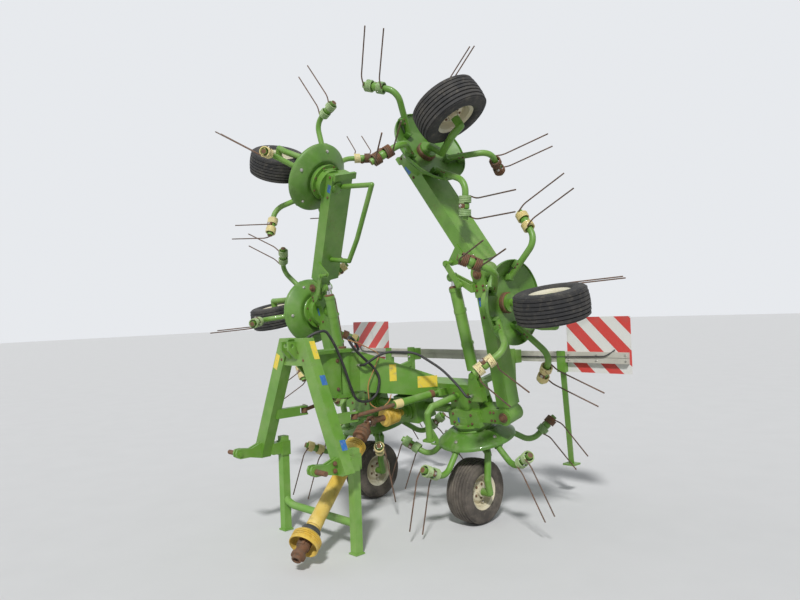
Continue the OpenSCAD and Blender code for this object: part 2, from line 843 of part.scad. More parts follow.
module headstock() color(GREEN) on_ground() {
    swivel_top = bush_z + bush_h + seat_gap;
    swivel_foot = bush_z - seat_gap;
    difference() {
        union() {
            both_sides() {
                // Leg of the A-frame, square to its own line
                difference() {
                    aim([leg_foot[0], hitch_y, leg_foot[1]], [leg_head[0], hitch_y, leg_head[1]])
                        block([-leg_section[0] / 2, -leg_section[1] / 2, -30],
                            [leg_section[0] / 2, leg_section[1] / 2, 820]);
                    block([-100, -1100, leg_head[1] + 20], [200, -900, 1500]);
                    block([200, -1100, 300], [600, -900, sleeve_z[0]]);
                }
                // Yoke of the lower link
                for (x = [yoke_in, yoke_out - 14])
                    plate_yz([[leg_front + 5, lower_pin_z + 50], [leg_front + 5, lower_pin_z - 50],
                        [-1120, 500], [lower_pin_y, lower_pin_z - 30], [lower_pin_y - 26, lower_pin_z - 15],
                        [lower_pin_y - 30, lower_pin_z + 8], [lower_pin_y - 20, lower_pin_z + 30],
                        [lower_pin_y + 10, lower_pin_z + 32], [-1110, lower_pin_z + 22]], x, x + 14);
                block([yoke_in, leg_front - 20, lower_pin_z - 44],
                    [yoke_out, leg_front + 5, lower_pin_z + 44]);
                drum_x([lower_pin_y, lower_pin_z], yoke_in - 8, yoke_out + lower_pin_length, lower_pin_d / 2);
                drum_x([lower_pin_y, lower_pin_z], yoke_in, yoke_out + 6, 24);
                // Sleeve of the stand and its bracket
                sleeve = stand_tube / 2 + sleeve_wall;
                block([stand_x - sleeve, stand_y - sleeve, sleeve_z[0]],
                    [stand_x + sleeve, stand_y + sleeve, sleeve_z[1]]);
                block([330, leg_rear - 5, sleeve_z[0] + 12],
                    [440, stand_y - stand_tube / 2 - sleeve_wall + 1, sleeve_z[1] - 6]);
                // Arm and lugs that hold the damper's eye
                for (z0 = [damper_eye_h / 2 + damper_gap, -damper_eye_h / 2 - damper_gap - plate]) {
                    translate(damper_eye + [0, 0, z0])
                        cylinder(h = plate, r = damper_eye_r + 4);
                    block([damper_eye[0] - 22, leg_rear - 30, damper_eye[2] + z0],
                        [damper_eye[0] + 22, damper_eye[1], damper_eye[2] + z0 + plate]);
                }
                block([damper_eye[0] - 22, leg_rear - 30, damper_eye[2] - damper_eye_h / 2 - damper_gap - 2],
                    [damper_eye[0] + 22, damper_eye[1] - damper_eye_r - 26,
                        damper_eye[2] + damper_eye_h / 2 + damper_gap + 2]);
                translate(damper_eye + [0, 0, damper_eye_h / 2 + damper_gap + 4])
                    cylinder(h = 14, r = 11);
                // Cheek of the top link
                plate_yz([[leg_rear, 1150], [leg_front, 1110], [top_hole[0] - 26, top_hole[1] - 24],
                    [top_hole[0] - 26, top_hole[1] + 26], [top_hole[0] + 24, top_hole[1] + 26],
                    [leg_rear - 1, 1214]],
                    26, 42);
            }
            // Ties across the top of the A-frame
            block([-150, leg_front + 8, 1072], [150, leg_rear - 8, 1140]);
            // Swivel bracket over and under the boom's bush
            plate_xy([[-130, leg_rear - 20], [130, leg_rear - 20], [84, -820], [76, swivel_y],
                [-76, swivel_y], [-84, -820]], swivel_top, swivel_top + swivel_plate);
            translate([0, swivel_y, swivel_top])
                cylinder(h = swivel_plate, r = 78);
            translate([0, swivel_y, swivel_foot - swivel_plate])
                cylinder(h = swivel_plate, r = 78);
            block([-76, swivel_y - 100, swivel_foot - swivel_plate], [76, swivel_y, swivel_foot]);
            for (x = [-60, 46])
                plate_yz([[leg_rear - 10, swivel_top + 5], [leg_rear - 10, 1074],
                    [swivel_y - 130, swivel_foot - 15], [swivel_y - 66, swivel_foot - 15], [swivel_y - 66, swivel_top + 5]], x, x + 14);
            block([-50, swivel_y - 80, swivel_foot - 5], [50, swivel_y - 66, swivel_top + 5]);
            translate([0, swivel_y, swivel_foot - swivel_plate - 14])
                cylinder(h = bush_h + 2 * swivel_plate + 28, d = swivel_pin_d);
        }
        for (s = [-1, 1])
            translate([s * stand_x, stand_y, sleeve_z[0]])
                cube([stand_tube + 2 * seat_gap, stand_tube + 2 * seat_gap, 300], center = true);
        drum_x(top_hole, -60, 60, top_hole_d / 2);
    }
}

module stand() color(GREEN) on_ground() {
    half = stand_tube / 2;
    for (x = [-stand_x, stand_x]) {
        block([x - half, stand_y - half, 0], [x + half, stand_y + half, stand_top]);
        block([x - 33, stand_y - 33, 0], [x + 33, stand_y + 33, 8]);
    }
    // Round cross tube that rises into the right leg
    tube_path([[stand_x - 10, stand_y, stand_cross], [-stand_x + 95, stand_y, stand_cross],
        [-stand_x + 45, stand_y, stand_cross + 12], [-stand_x, stand_y, stand_cross + 35]], 46);
}

module rotor_guards() color(GREEN)
    for (side = [-1, 1])
        on_frame(side) {
            tube_path([[461, beam_front - plate - seat_gap, -22], [461, beam_front - 36, -22],
                [428, -278, -26], [414, -312, -60], [400, -322, -223]], 42);
            block([366, -352, -236], [436, -296, -222]);
        }

module rack_frame() color(GREEN)
    for (side = [-1, 1]) {
        on_frame(side)
            block([rack_post_x - rack_post / 2 + 3, plate - beam_front + seat_gap, -20],
                [rack_post_x + rack_post / 2 - 3, 480, 20]);
        on_ground(side) {
            back = rack_post_y + rack_post / 2;
            front = rack_y - rack_plank[1] / 2;
            low = rack_z - 1 - rack_plank[0];
            block([rack_post_x - rack_post / 2, rack_post_y - rack_post / 2, 740],
                [rack_post_x + rack_post / 2, back, rack_top]);
            block([rack_post_x - 25, back - 4, low - 10], [rack_post_x + 25, front, rack_top - 10]);
            // Slanting leg with its foot plate, hung on the bar by a bracket and a hook plate
            aim(rack_hip, rack_foot)
                block([-18, -18, 0], [18, 18, norm(rack_foot - rack_hip)]);
            block([rack_hip[0] - 30, front - 10, rack_hip[2] - 25], [rack_hip[0] + 30, rack_y + 14, low]);
            block([rack_hip[0] - 30, front - 10, rack_hip[2] - 25], [rack_hip[0] + 30, front, rack_top - 15]);
            block(rack_foot - [45, 45, 6], rack_foot + [45, 45, 6]);
        }
    }

module rack_bar() color(STEEL) on_ground()
    for (z0 = [rack_z - rack_plank[0] - 1, rack_z + 1])
        block([-rack_length / 2, rack_y - rack_plank[1] / 2, z0],
            [rack_length / 2, rack_y + rack_plank[1] / 2, z0 + rack_plank[0]]);

module warning_boards() color(RED)
    for (side = [-1, 1])
        on_ground(side)
            block([board_x - board_w / 2, rack_y + rack_plank[1] / 2, board_z - board_h / 2],
                [board_x + board_w / 2, rack_y + rack_plank[1] / 2 + board_t, board_z + board_h / 2]);

module rack_lamps() color(RED)
    for (side = [-1, 1])
        on_ground(side)
            translate([board_x + 120, rack_y + rack_plank[1] / 2 + board_t, 1150])
                rotate([-90, 0, 0])
                    cylinder(h = 45, d = 120);

module hoses() color(BLACK)
    for (side = [-1, 1])
        on_ground(side)
            tube_path([[55, -575, 1040], [110, -575, 1040], [190, -470, 1120], [330, -330, 1110],
                [460, -230, 1000],
                [560, -200, 900], to_ground([620, cylinder_y - lug_out - 50, 0]),
                to_ground([620, cylinder_y - lug_out, 0])], 18);

center_beam();
boom();
main_gearbox();
drive_shaft();
rotor_guards();
hoses();
rack_frame();
rack_bar();
warning_boards();
rack_lamps();
headstock();
stand();
pto_guard();
pto_inner();
damper(1);  // damper_left
damper(-1);  // damper_right
damper_rod(1);  // damper_rod_left
damper_rod(-1);  // damper_rod_right
wing_inner(1);  // wing_inner_left
wing_inner(-1);  // wing_inner_right
wing_outer(1);  // wing_outer_left
wing_outer(-1);  // wing_outer_right
fold_cylinder(1);  // fold_cylinder_left
fold_cylinder(-1);  // fold_cylinder_right
fold_rod(1);  // fold_rod_left
fold_rod(-1);  // fold_rod_right
fold_link(1);  // fold_link_left
fold_link(-1);  // fold_link_right
rotor(ROTORS[0]);  // rotor_left_1
rotor(ROTORS[1]);  // rotor_left_2
rotor(ROTORS[2]);  // rotor_left_3
rotor(ROTORS[3]);  // rotor_right_1
rotor(ROTORS[4]);  // rotor_right_2
rotor(ROTORS[5]);  // rotor_right_3
wheel_leg(ROTORS[0]);  // wheel_leg_left_1
wheel_leg(ROTORS[1]);  // wheel_leg_left_2
wheel_leg(ROTORS[2]);  // wheel_leg_left_3
wheel_leg(ROTORS[3]);  // wheel_leg_right_1
wheel_leg(ROTORS[4]);  // wheel_leg_right_2
wheel_leg(ROTORS[5]);  // wheel_leg_right_3
tyre(ROTORS[0]);  // tyre_left_1
tyre(ROTORS[1]);  // tyre_left_2
tyre(ROTORS[2]);  // tyre_left_3
tyre(ROTORS[3]);  // tyre_right_1
tyre(ROTORS[4]);  // tyre_right_2
tyre(ROTORS[5]);  // tyre_right_3
rim(ROTORS[0]);  // rim_left_1
rim(ROTORS[1]);  // rim_left_2
rim(ROTORS[2]);  // rim_left_3
rim(ROTORS[3]);  // rim_right_1
rim(ROTORS[4]);  // rim_right_2
rim(ROTORS[5]);  // rim_right_3
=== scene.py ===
"""A mounted hay tedder, parked folded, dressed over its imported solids.

All modelling is in millimetres in the coordinates of the part that carries a
piece. A placement then takes it to its seat in metres.
"""

from __future__ import annotations

import json
import logging
import math
from dataclasses import dataclass, field
from enum import Enum
from typing import Iterable, Protocol, Sequence

import bmesh
import bpy
from mathutils import Matrix, Vector

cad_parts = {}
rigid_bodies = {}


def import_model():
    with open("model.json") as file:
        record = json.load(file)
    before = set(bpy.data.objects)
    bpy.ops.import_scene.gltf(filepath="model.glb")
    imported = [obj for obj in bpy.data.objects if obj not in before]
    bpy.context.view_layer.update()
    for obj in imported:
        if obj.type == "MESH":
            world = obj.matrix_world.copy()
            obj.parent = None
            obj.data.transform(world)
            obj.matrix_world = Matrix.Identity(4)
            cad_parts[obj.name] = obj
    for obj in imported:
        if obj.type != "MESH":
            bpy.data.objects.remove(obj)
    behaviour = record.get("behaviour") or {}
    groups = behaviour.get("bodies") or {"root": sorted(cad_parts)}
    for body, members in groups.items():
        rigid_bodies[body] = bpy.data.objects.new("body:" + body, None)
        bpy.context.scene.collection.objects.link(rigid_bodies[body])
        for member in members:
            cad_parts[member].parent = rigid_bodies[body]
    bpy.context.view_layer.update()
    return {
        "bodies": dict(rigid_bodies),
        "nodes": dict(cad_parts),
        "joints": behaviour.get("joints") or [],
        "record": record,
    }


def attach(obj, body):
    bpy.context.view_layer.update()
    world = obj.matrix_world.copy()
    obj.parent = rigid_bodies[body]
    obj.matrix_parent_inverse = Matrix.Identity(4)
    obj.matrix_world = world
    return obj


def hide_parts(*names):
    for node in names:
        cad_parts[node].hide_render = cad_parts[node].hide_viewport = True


LOG = logging.getLogger("hay_tedder")
Point = Sequence[float]
Spot = tuple[float, float, float]
Colour = tuple[float, float, float]

# The rotor frame leans forwards, and its origin is the middle of the rotor row.
LEAN = math.radians(12.5)
ROW_SHIFT = 195.0
BEAM_DROP = 142.0
FIRST_X = 500.0
PITCH = 1000.0

# A wheel's middle, below and before its rotor.
TYRE_D = 410.0
WHEEL_DROP = 644.0
WHEEL_LEAD = 106.0

# The fold pins and how far the wings stand folded, in degrees.
INNER_PIN_X = 803.0
OUTER_PIN_X = 1691.0
INNER_FOLD = 90.0
OUTER_FOLD = 29.0

# The drive shaft's stub leaves the gearbox at the neck and ends in the joint.
NECK: Spot = (0, -180, -BEAM_DROP)
SHAFT_JOINT: Spot = (0, -460, 660)


class Side(Enum):
    """The side of the machine, seen along its travel."""

    LEFT = 1
    RIGHT = -1

    @property
    def word(self) -> str:
        """The side's name as the nodes write it."""
        return self.name.lower()


class Stage(Enum):
    """Which part of the folding frame carries a piece."""

    MIDDLE = 0
    INNER = 1
    OUTER = 2


@dataclass(frozen=True)
class Placement:
    """Where the coordinates of a carrier lie in the finished machine."""

    side: Side = Side.LEFT
    stage: Stage = Stage.MIDDLE

    def ground(self) -> Matrix:
        """Millimetres over the ground to the machine's metres."""
        shift = Matrix.Translation((0, ROW_SHIFT, 0))
        return Matrix.Scale(0.001, 4) @ shift @ Matrix.Diagonal((self.side.value, 1, 1, 1))

    def frame(self) -> Matrix:
        """Coordinates of the leaning rotor frame, unfolded, to metres."""
        high = TYRE_D / 2 + WHEEL_DROP * math.cos(LEAN) + WHEEL_LEAD * math.sin(LEAN)
        back = WHEEL_LEAD * math.cos(LEAN) - WHEEL_DROP * math.sin(LEAN)
        return self.ground() @ Matrix.Translation((0, back, high)) @ Matrix.Rotation(LEAN, 4, "X")

    @staticmethod
    def fold(x: float, degrees: float) -> Matrix:
        """The turn of a wing about its fold pin at x."""
        turn = Matrix.Rotation(math.radians(-degrees), 4, "Y")
        return Matrix.Translation((x, 0, -BEAM_DROP)) @ turn @ Matrix.Translation((-x, 0, BEAM_DROP))

    def wing(self) -> Matrix:
        """Coordinates of the carrier as it stands folded, to metres."""
        place = self.frame()
        if self.stage is not Stage.MIDDLE:
            place = place @ self.fold(INNER_PIN_X, INNER_FOLD)
        if self.stage is Stage.OUTER:
            place = place @ self.fold(OUTER_PIN_X, OUTER_FOLD)
        return place


def aim(p: Point, q: Point) -> Matrix:
    """A turn and shift that take the z axis onto the line from p to q.

    Args:
        p: Start of the line.
        q: End of the line.

    Returns:
        The matrix, with its origin at p.
    """
    way = Vector(q) - Vector(p)
    flat = math.atan2(way.y, way.x)
    tilt = math.acos(max(-1.0, min(1.0, way.z / way.length)))
    return Matrix.Translation(Vector(p)) @ Matrix.Rotation(flat, 4, "Z") @ Matrix.Rotation(tilt, 4, "Y")


class Val:
    """A number that changes over a surface, for use in expressions."""

    def __init__(self, recipe: "Recipe", socket: bpy.types.NodeSocket) -> None:
        """Keeps the socket and the recipe that it belongs to."""
        self.recipe = recipe
        self.socket = socket

    def _math(self, operation: str, first: object, second: object) -> "Val":
        """Adds one Math node and returns its result."""
        node = self.recipe.node("ShaderNodeMath", {"operation": operation}, {0: first, 1: second})
        return Val(self.recipe, node.outputs[0])

    def __add__(self, other: object) -> "Val":
        """Self plus other."""
        return self._math("ADD", self, other)

    __radd__ = __add__

    def __sub__(self, other: object) -> "Val":
        """Self minus other."""
        return self._math("SUBTRACT", self, other)

    def __rsub__(self, other: object) -> "Val":
        """Other minus self."""
        return self._math("SUBTRACT", other, self)

    def __mul__(self, other: object) -> "Val":
        """Self times other."""
        return self._math("MULTIPLY", self, other)

    __rmul__ = __mul__

    def __gt__(self, other: object) -> "Val":
        """One where self is above other, else zero."""
        return self._math("GREATER_THAN", self, other)

    def ramp(self, low: float, high: float) -> "Val":
        """A smooth step from zero at low to one at high."""
        node = self.recipe.node(
            "ShaderNodeMapRange",
            {"interpolation_type": "SMOOTHSTEP"},
            {"Value": self, "From Min": low, "From Max": high},
        )
        return Val(self.recipe, node.outputs[0])


class Recipe:
    """The node graph of one material."""

    def __init__(self, name: str) -> None:
        """Starts an empty material with a shader and its output."""
        self.material = bpy.data.materials.new(name)
        self.material.use_nodes = True
        self.tree = self.material.node_tree
        self.tree.nodes.clear()
        self.shader = self.node("ShaderNodeBsdfPrincipled", {}, {})
        output = self.node("ShaderNodeOutputMaterial", {}, {})
        self.tree.links.new(self.shader.outputs[0], output.inputs[0])
        self.place = self.node("ShaderNodeTexCoord", {}, {}).outputs["Object"]

    def _fill(self, socket: bpy.types.NodeSocket, value: object) -> None:
        """Links a socket to a Val or another socket, or sets its value."""
        if isinstance(value, Val):
            value = value.socket
        if isinstance(value, bpy.types.NodeSocket):
            self.tree.links.new(value, socket)
        else:
            socket.default_value = (*value, 1.0) if isinstance(value, tuple) else value

    def node(self, kind: str, settings: dict[str, object], values: dict[object, object]) -> bpy.types.Node:
        """Adds any node.

        Args:
            kind: Blender's name of the node type.
            settings: The node's own settings, set first.
            values: Socket name or number to a value, a socket or a Val.

        Returns:
            The new node.
        """
        node = self.tree.nodes.new(kind)
        for key, value in settings.items():
            setattr(node, key, value)
        for key, value in values.items():
            self._fill(node.inputs[key], value)
        return node

    def noise(
        self, scale: float, detail: float = 4.0, rough: float = 0.55, stretch: Point | None = None
    ) -> Val:
        """Fractal noise on the object's own coordinates, from 0 to 1.

        Args:
            scale: Waves to the metre.
            detail: Number of finer layers.
            rough: Weight of the finer layers.
            stretch: Scale of each axis beside the first.

        Returns:
            The noise.
        """
        place = self.place
        if stretch is not None:
            place = self.node("ShaderNodeMapping", {}, {"Vector": place, "Scale": Vector(stretch)}).outputs[0]
        node = self.node(
            "ShaderNodeTexNoise", {}, {"Vector": place, "Scale": scale, "Detail": detail, "Roughness": rough}
        )
        return Val(self, node.outputs[0])

    def cells(self, scale: float) -> Val:
        """Distance to the middle of the nearest cell."""
        node = self.node("ShaderNodeTexVoronoi", {}, {"Vector": self.place, "Scale": scale})
        return Val(self, node.outputs[0])

    def normal(self, axis: int) -> Val:
        """One part of the surface's direction at rest."""
        coordinate = self.node("ShaderNodeTexCoord", {}, {})
        split = self.node("ShaderNodeSeparateXYZ", {}, {0: coordinate.outputs["Normal"]})
        return Val(self, split.outputs[axis])

    def along(self, axis: int) -> Val:
        """One of the object's own coordinates, in metres."""
        split = self.node("ShaderNodeSeparateXYZ", {}, {0: self.place})
        return Val(self, split.outputs[axis])

    def blend(self, share: object, under: object, over: object) -> bpy.types.NodeSocket:
        """A colour that goes from under to over as share goes from 0 to 1."""
        node = self.node("ShaderNodeMix", {"data_type": "RGBA"}, {0: share, 6: under, 7: over})
        return node.outputs[2]

    def bump(self, height: Val, depth: float, strength: float = 1.0) -> None:
        """Raises the surface by a height of 0 to 1 times depth, in metres."""
        values = {"Height": height, "Distance": depth, "Strength": strength}
        node = self.node("ShaderNodeBump", {}, values)
        self.tree.links.new(node.outputs[0], self.shader.inputs["Normal"])

    def dress(self, **values: object) -> bpy.types.Material:
        """Sets sockets of the shader and returns the material."""
        names = {"colour": "Base Color", "rough": "Roughness", "metal": "Metallic", "coat": "Coat Weight"}
        for key, value in values.items():
            self._fill(self.shader.inputs[names[key]], value)
        return self.material


class Finish(Protocol):
    """Anything that can build a material."""

    def material(self) -> bpy.types.Material:
        """Builds the finish's nodes."""


@dataclass(frozen=True)
class Paint:
    """Weathered machine paint with dust, grime, chips and rust."""

    name: str
    fresh: Colour
    faded: Colour
    rust: float = 0.25
    grime: float = 0.35
    shine: float = 0.38

    def material(self) -> bpy.types.Material:
        """Builds the paint's nodes."""
        r = Recipe(self.name)
        fade = (r.noise(1.7, 5) + 0.6 * r.noise(9, 4) - 0.3).ramp(0.35, 0.75)
        colour = r.blend(fade, self.fresh, self.faded)
        up = r.normal(2).ramp(0.2, 0.95)
        dust = (up * 0.5 + 0.25) * r.noise(14, 6).ramp(0.42, 0.72)
        colour = r.blend(dust * 0.45, colour, (0.34, 0.33, 0.24))
        grime = r.noise(5.5, 8, 0.65).ramp(0.55, 0.8)
        colour = r.blend(grime * self.grime, colour, (0.035, 0.04, 0.018))
        streak = r.noise(16, 5, 0.6, (1, 1, 0.16)).ramp(0.6, 0.78)
        colour = r.blend(streak * 0.2, colour, (0.06, 0.07, 0.03))
        patch = r.noise(3.1, 4).ramp(0.48, 0.66)
        chip = (r.noise(85, 5, 0.7) + patch * 0.12).ramp(0.69, 0.72)
        spot = (r.noise(28, 8, 0.75) + patch * 0.1).ramp(0.69, 0.75)
        worn = (chip * 0.8 + spot) * (self.rust * 2)
        rust = r.blend(r.noise(60, 4), (0.12, 0.045, 0.018), (0.26, 0.12, 0.05))
        colour = r.blend(worn.ramp(0.0, 1.0), colour, rust)
        height = r.noise(190, 3) * 0.35 - worn * 0.8 + r.noise(30, 2) * 0.5
        r.bump(height, 0.0006, 0.5)
        rough = worn * 0.4 + dust * 0.35 + r.noise(22, 3) * 0.14 + self.shine
        return r.dress(colour=colour, rough=rough.ramp(0, 1) * 0.9 + 0.05, coat=0.12)


@dataclass(frozen=True)
class BareMetal:
    """Metal without paint, from polished to rusty."""

    name: str
    bright: Colour
    dull: Colour
    rust: float = 0.8
    shine: float = 0.45
    metal: float = 0.6
    grain: float = 90.0

    def material(self) -> bpy.types.Material:
        """Builds the metal's nodes."""
        r = Recipe(self.name)
        base = r.blend(r.noise(self.grain, 5), self.bright, self.dull)
        edge = 0.62 - 0.25 * self.rust
        crust = (r.noise(26, 8, 0.7) + r.noise(130, 3) * 0.3).ramp(edge, edge + 0.3)
        rust = r.blend(r.noise(75, 5), (0.10, 0.035, 0.014), (0.30, 0.13, 0.055))
        share = crust * self.rust
        r.bump(r.noise(170, 5) * 0.6 + share, 0.0007, 0.4 + 0.4 * self.rust)
        return r.dress(
            colour=r.blend(share, base, rust),
            rough=share * 0.4 + self.shine,
            metal=(1 - share) * self.metal,
        )


@dataclass(frozen=True)
class Rubber:
    """Black rubber, dusty and grey where it is worn."""

    name: str
    fresh: Colour = (0.020, 0.020, 0.021)
    worn: Colour = (0.085, 0.078, 0.068)
    dust: float = 0.5
    rough: float = 0.72

    def material(self) -> bpy.types.Material:
        """Builds the rubber's nodes."""
        r = Recipe(self.name)
        wear = r.noise(7, 6, 0.6).ramp(0.35, 0.7)
        colour = r.blend(wear * self.dust, self.fresh, self.worn)
        dust = r.noise(34, 6, 0.7).ramp(0.5, 0.75)
        colour = r.blend(dust * self.dust * 0.7, colour, (0.20, 0.175, 0.13))
        r.bump(r.noise(260, 3) + r.noise(45, 3) * 0.6, 0.0006, 0.6)
        return r.dress(colour=colour, rough=self.rough + 0.16 * r.noise(15, 3))


@dataclass(frozen=True)
class Plastic:
    """Scuffed moulded plastic."""

    name: str
    colour: Colour
    scuff: Colour
    rough: float = 0.5
    dirt: float = 0.5

    def material(self) -> bpy.types.Material:
        """Builds the plastic's nodes."""
        r = Recipe(self.name)
        fade = r.noise(6, 5).ramp(0.35, 0.75)
        colour = r.blend(fade * 0.7, self.colour, self.scuff)
        scratch = r.noise(40, 6, 0.7, (1, 1, 0.25)).ramp(0.56, 0.66)
        colour = r.blend(scratch * 0.35, colour, self.scuff)
        dirt = r.noise(11, 8, 0.7).ramp(0.5, 0.74)
        colour = r.blend(dirt * self.dirt, colour, (0.075, 0.05, 0.025))
        r.bump(r.noise(300, 2) * 0.5 + r.noise(70, 4) * 0.5, 0.0004, 0.5)
        return r.dress(colour=colour, rough=self.rough + dirt * 0.25)


@dataclass(frozen=True)
class Striped:
    """Red and white warning stripes that slant outwards."""

    name: str
    lean: float
    width: float = 0.10
    far: float = 40.0

    def material(self) -> bpy.types.Material:
        """Builds the stripes across the board's own plane."""
        r = Recipe(self.name)
        across = r.along(0) * self.lean + r.along(2)
        phase = (across + self.far) * (0.5 / self.width)
        step = r.node("ShaderNodeMath", {"operation": "FRACT"}, {0: phase})
        red = Val(r, step.outputs[0]) > 0.5
        colour = r.blend(red, (0.72, 0.71, 0.68), (0.62, 0.035, 0.03))
        facets = r.cells(160).ramp(0.1, 0.5)
        colour = r.blend(facets * 0.12, colour, (0.3, 0.28, 0.26))
        dirt = r.noise(8, 8, 0.7).ramp(0.52, 0.8)
        colour = r.blend(dirt * 0.5, colour, (0.16, 0.15, 0.12))
        r.bump(r.cells(160), 0.0003, 0.5)
        return r.dress(colour=colour, rough=0.36 + dirt * 0.3)


@dataclass(frozen=True)
class Sticker:
    """A plain printed foil without words."""

    name: str
    colour: Colour

    def material(self) -> bpy.types.Material:
        """Builds a foil that is rubbed and dusty."""
        r = Recipe(self.name)
        rub = r.noise(48, 7, 0.7).ramp(0.52, 0.68)
        colour = r.blend(rub * 0.55, self.colour, (0.30, 0.31, 0.28))
        dirt = r.noise(14, 6, 0.6).ramp(0.5, 0.8)
        colour = r.blend(dirt * 0.5, colour, (0.07, 0.08, 0.05))
        r.bump(r.noise(120, 3), 0.0002, 0.4)
        return r.dress(colour=colour, rough=0.32 + 0.3 * dirt)


@dataclass(frozen=True)
class Lens:
    """The red cover of a lamp."""

    name: str = "lamp_cover"

    def material(self) -> bpy.types.Material:
        """Builds a ribbed glossy cover."""
        r = Recipe(self.name)
        dirt = r.noise(30, 5).ramp(0.45, 0.75) * 0.5
        colour = r.blend(dirt, (0.42, 0.012, 0.01), (0.16, 0.05, 0.035))
        r.bump(r.cells(220), 0.0005, 0.5)
        return r.dress(colour=colour, rough=0.22 + 0.2 * r.noise(20, 3), coat=0.4)


class Palette:
    """All finishes of the machine, each made once."""

    FINISHES: dict[str, Finish] = {
        "green": Paint("green_paint", (0.10, 0.245, 0.022), (0.16, 0.31, 0.05), 0.24, 0.36),
        "pale_green": Paint("pale_green_paint", (0.13, 0.30, 0.035), (0.20, 0.36, 0.08), 0.16, 0.2, 0.45),
        # A darker copy of the green paint: painted shade on the discs and saddles, with a little more rust
        # and grime as real wear.
        "shade_darkened_green": Paint("disc_paint", (0.075, 0.19, 0.02), (0.13, 0.27, 0.045), 0.3, 0.45),
        "cream": Paint("cream_paint", (0.58, 0.52, 0.36), (0.66, 0.63, 0.50), 0.4, 0.4),
        "coil_cream": Paint("coil_cream", (0.66, 0.54, 0.22), (0.72, 0.64, 0.36), 0.5, 0.3),
        "coil_green": Paint("coil_green", (0.20, 0.34, 0.12), (0.36, 0.46, 0.22), 0.5, 0.3),
        "rusty": BareMetal("rusty_steel", (0.15, 0.115, 0.08), (0.09, 0.062, 0.04), 0.7, 0.6, 0.35),
        "tine": BareMetal("tine_steel", (0.13, 0.10, 0.075), (0.07, 0.05, 0.04), 0.5, 0.5, 0.5),
        "bright": BareMetal("bright_steel", (0.62, 0.61, 0.58), (0.42, 0.40, 0.37), 0.2, 0.32, 0.9),
        "chrome": BareMetal("polished_rod", (0.70, 0.70, 0.70), (0.60, 0.60, 0.60), 0.06, 0.16, 1.0, 25.0),
        "tyre": Rubber("tyre_rubber"),
        "tyre_worn": Rubber("worn_tyre_rubber", (0.055, 0.047, 0.040), (0.16, 0.135, 0.11), 0.8, 0.78),
        "hose": Rubber("hose_rubber", (0.014, 0.014, 0.015), (0.05, 0.048, 0.045), 0.4, 0.5),
        "yellow": Plastic("yellow_guard", (0.62, 0.40, 0.045), (0.70, 0.55, 0.20), 0.5, 0.55),
        "black": Plastic("black_plastic", (0.02, 0.02, 0.02), (0.08, 0.08, 0.075), 0.5, 0.3),
        "wood": Plastic("grey_profile", (0.46, 0.44, 0.38), (0.56, 0.54, 0.48), 0.6, 0.35),
        "cord": Plastic("cord_fibre", (0.42, 0.17, 0.05), (0.36, 0.24, 0.12), 0.8, 0.6),
        "blue": Sticker("blue_foil", (0.03, 0.14, 0.42)),
        "sun": Sticker("yellow_foil", (0.72, 0.55, 0.05)),
        "stripes_left": Striped("stripes_left", 1.0),
        "stripes_right": Striped("stripes_right", -1.0),
        "lens": Lens(),
        "amber": Plastic("amber_reflector", (0.62, 0.20, 0.01), (0.66, 0.34, 0.06), 0.25, 0.2),
    }

    def __init__(self) -> None:
        """Starts with no material made."""
        self.made: dict[str, bpy.types.Material] = {}

    def __getitem__(self, key: str) -> bpy.types.Material:
        """The material of that finish."""
        if key not in self.made:
            self.made[key] = self.FINISHES[key].material()
        return self.made[key]


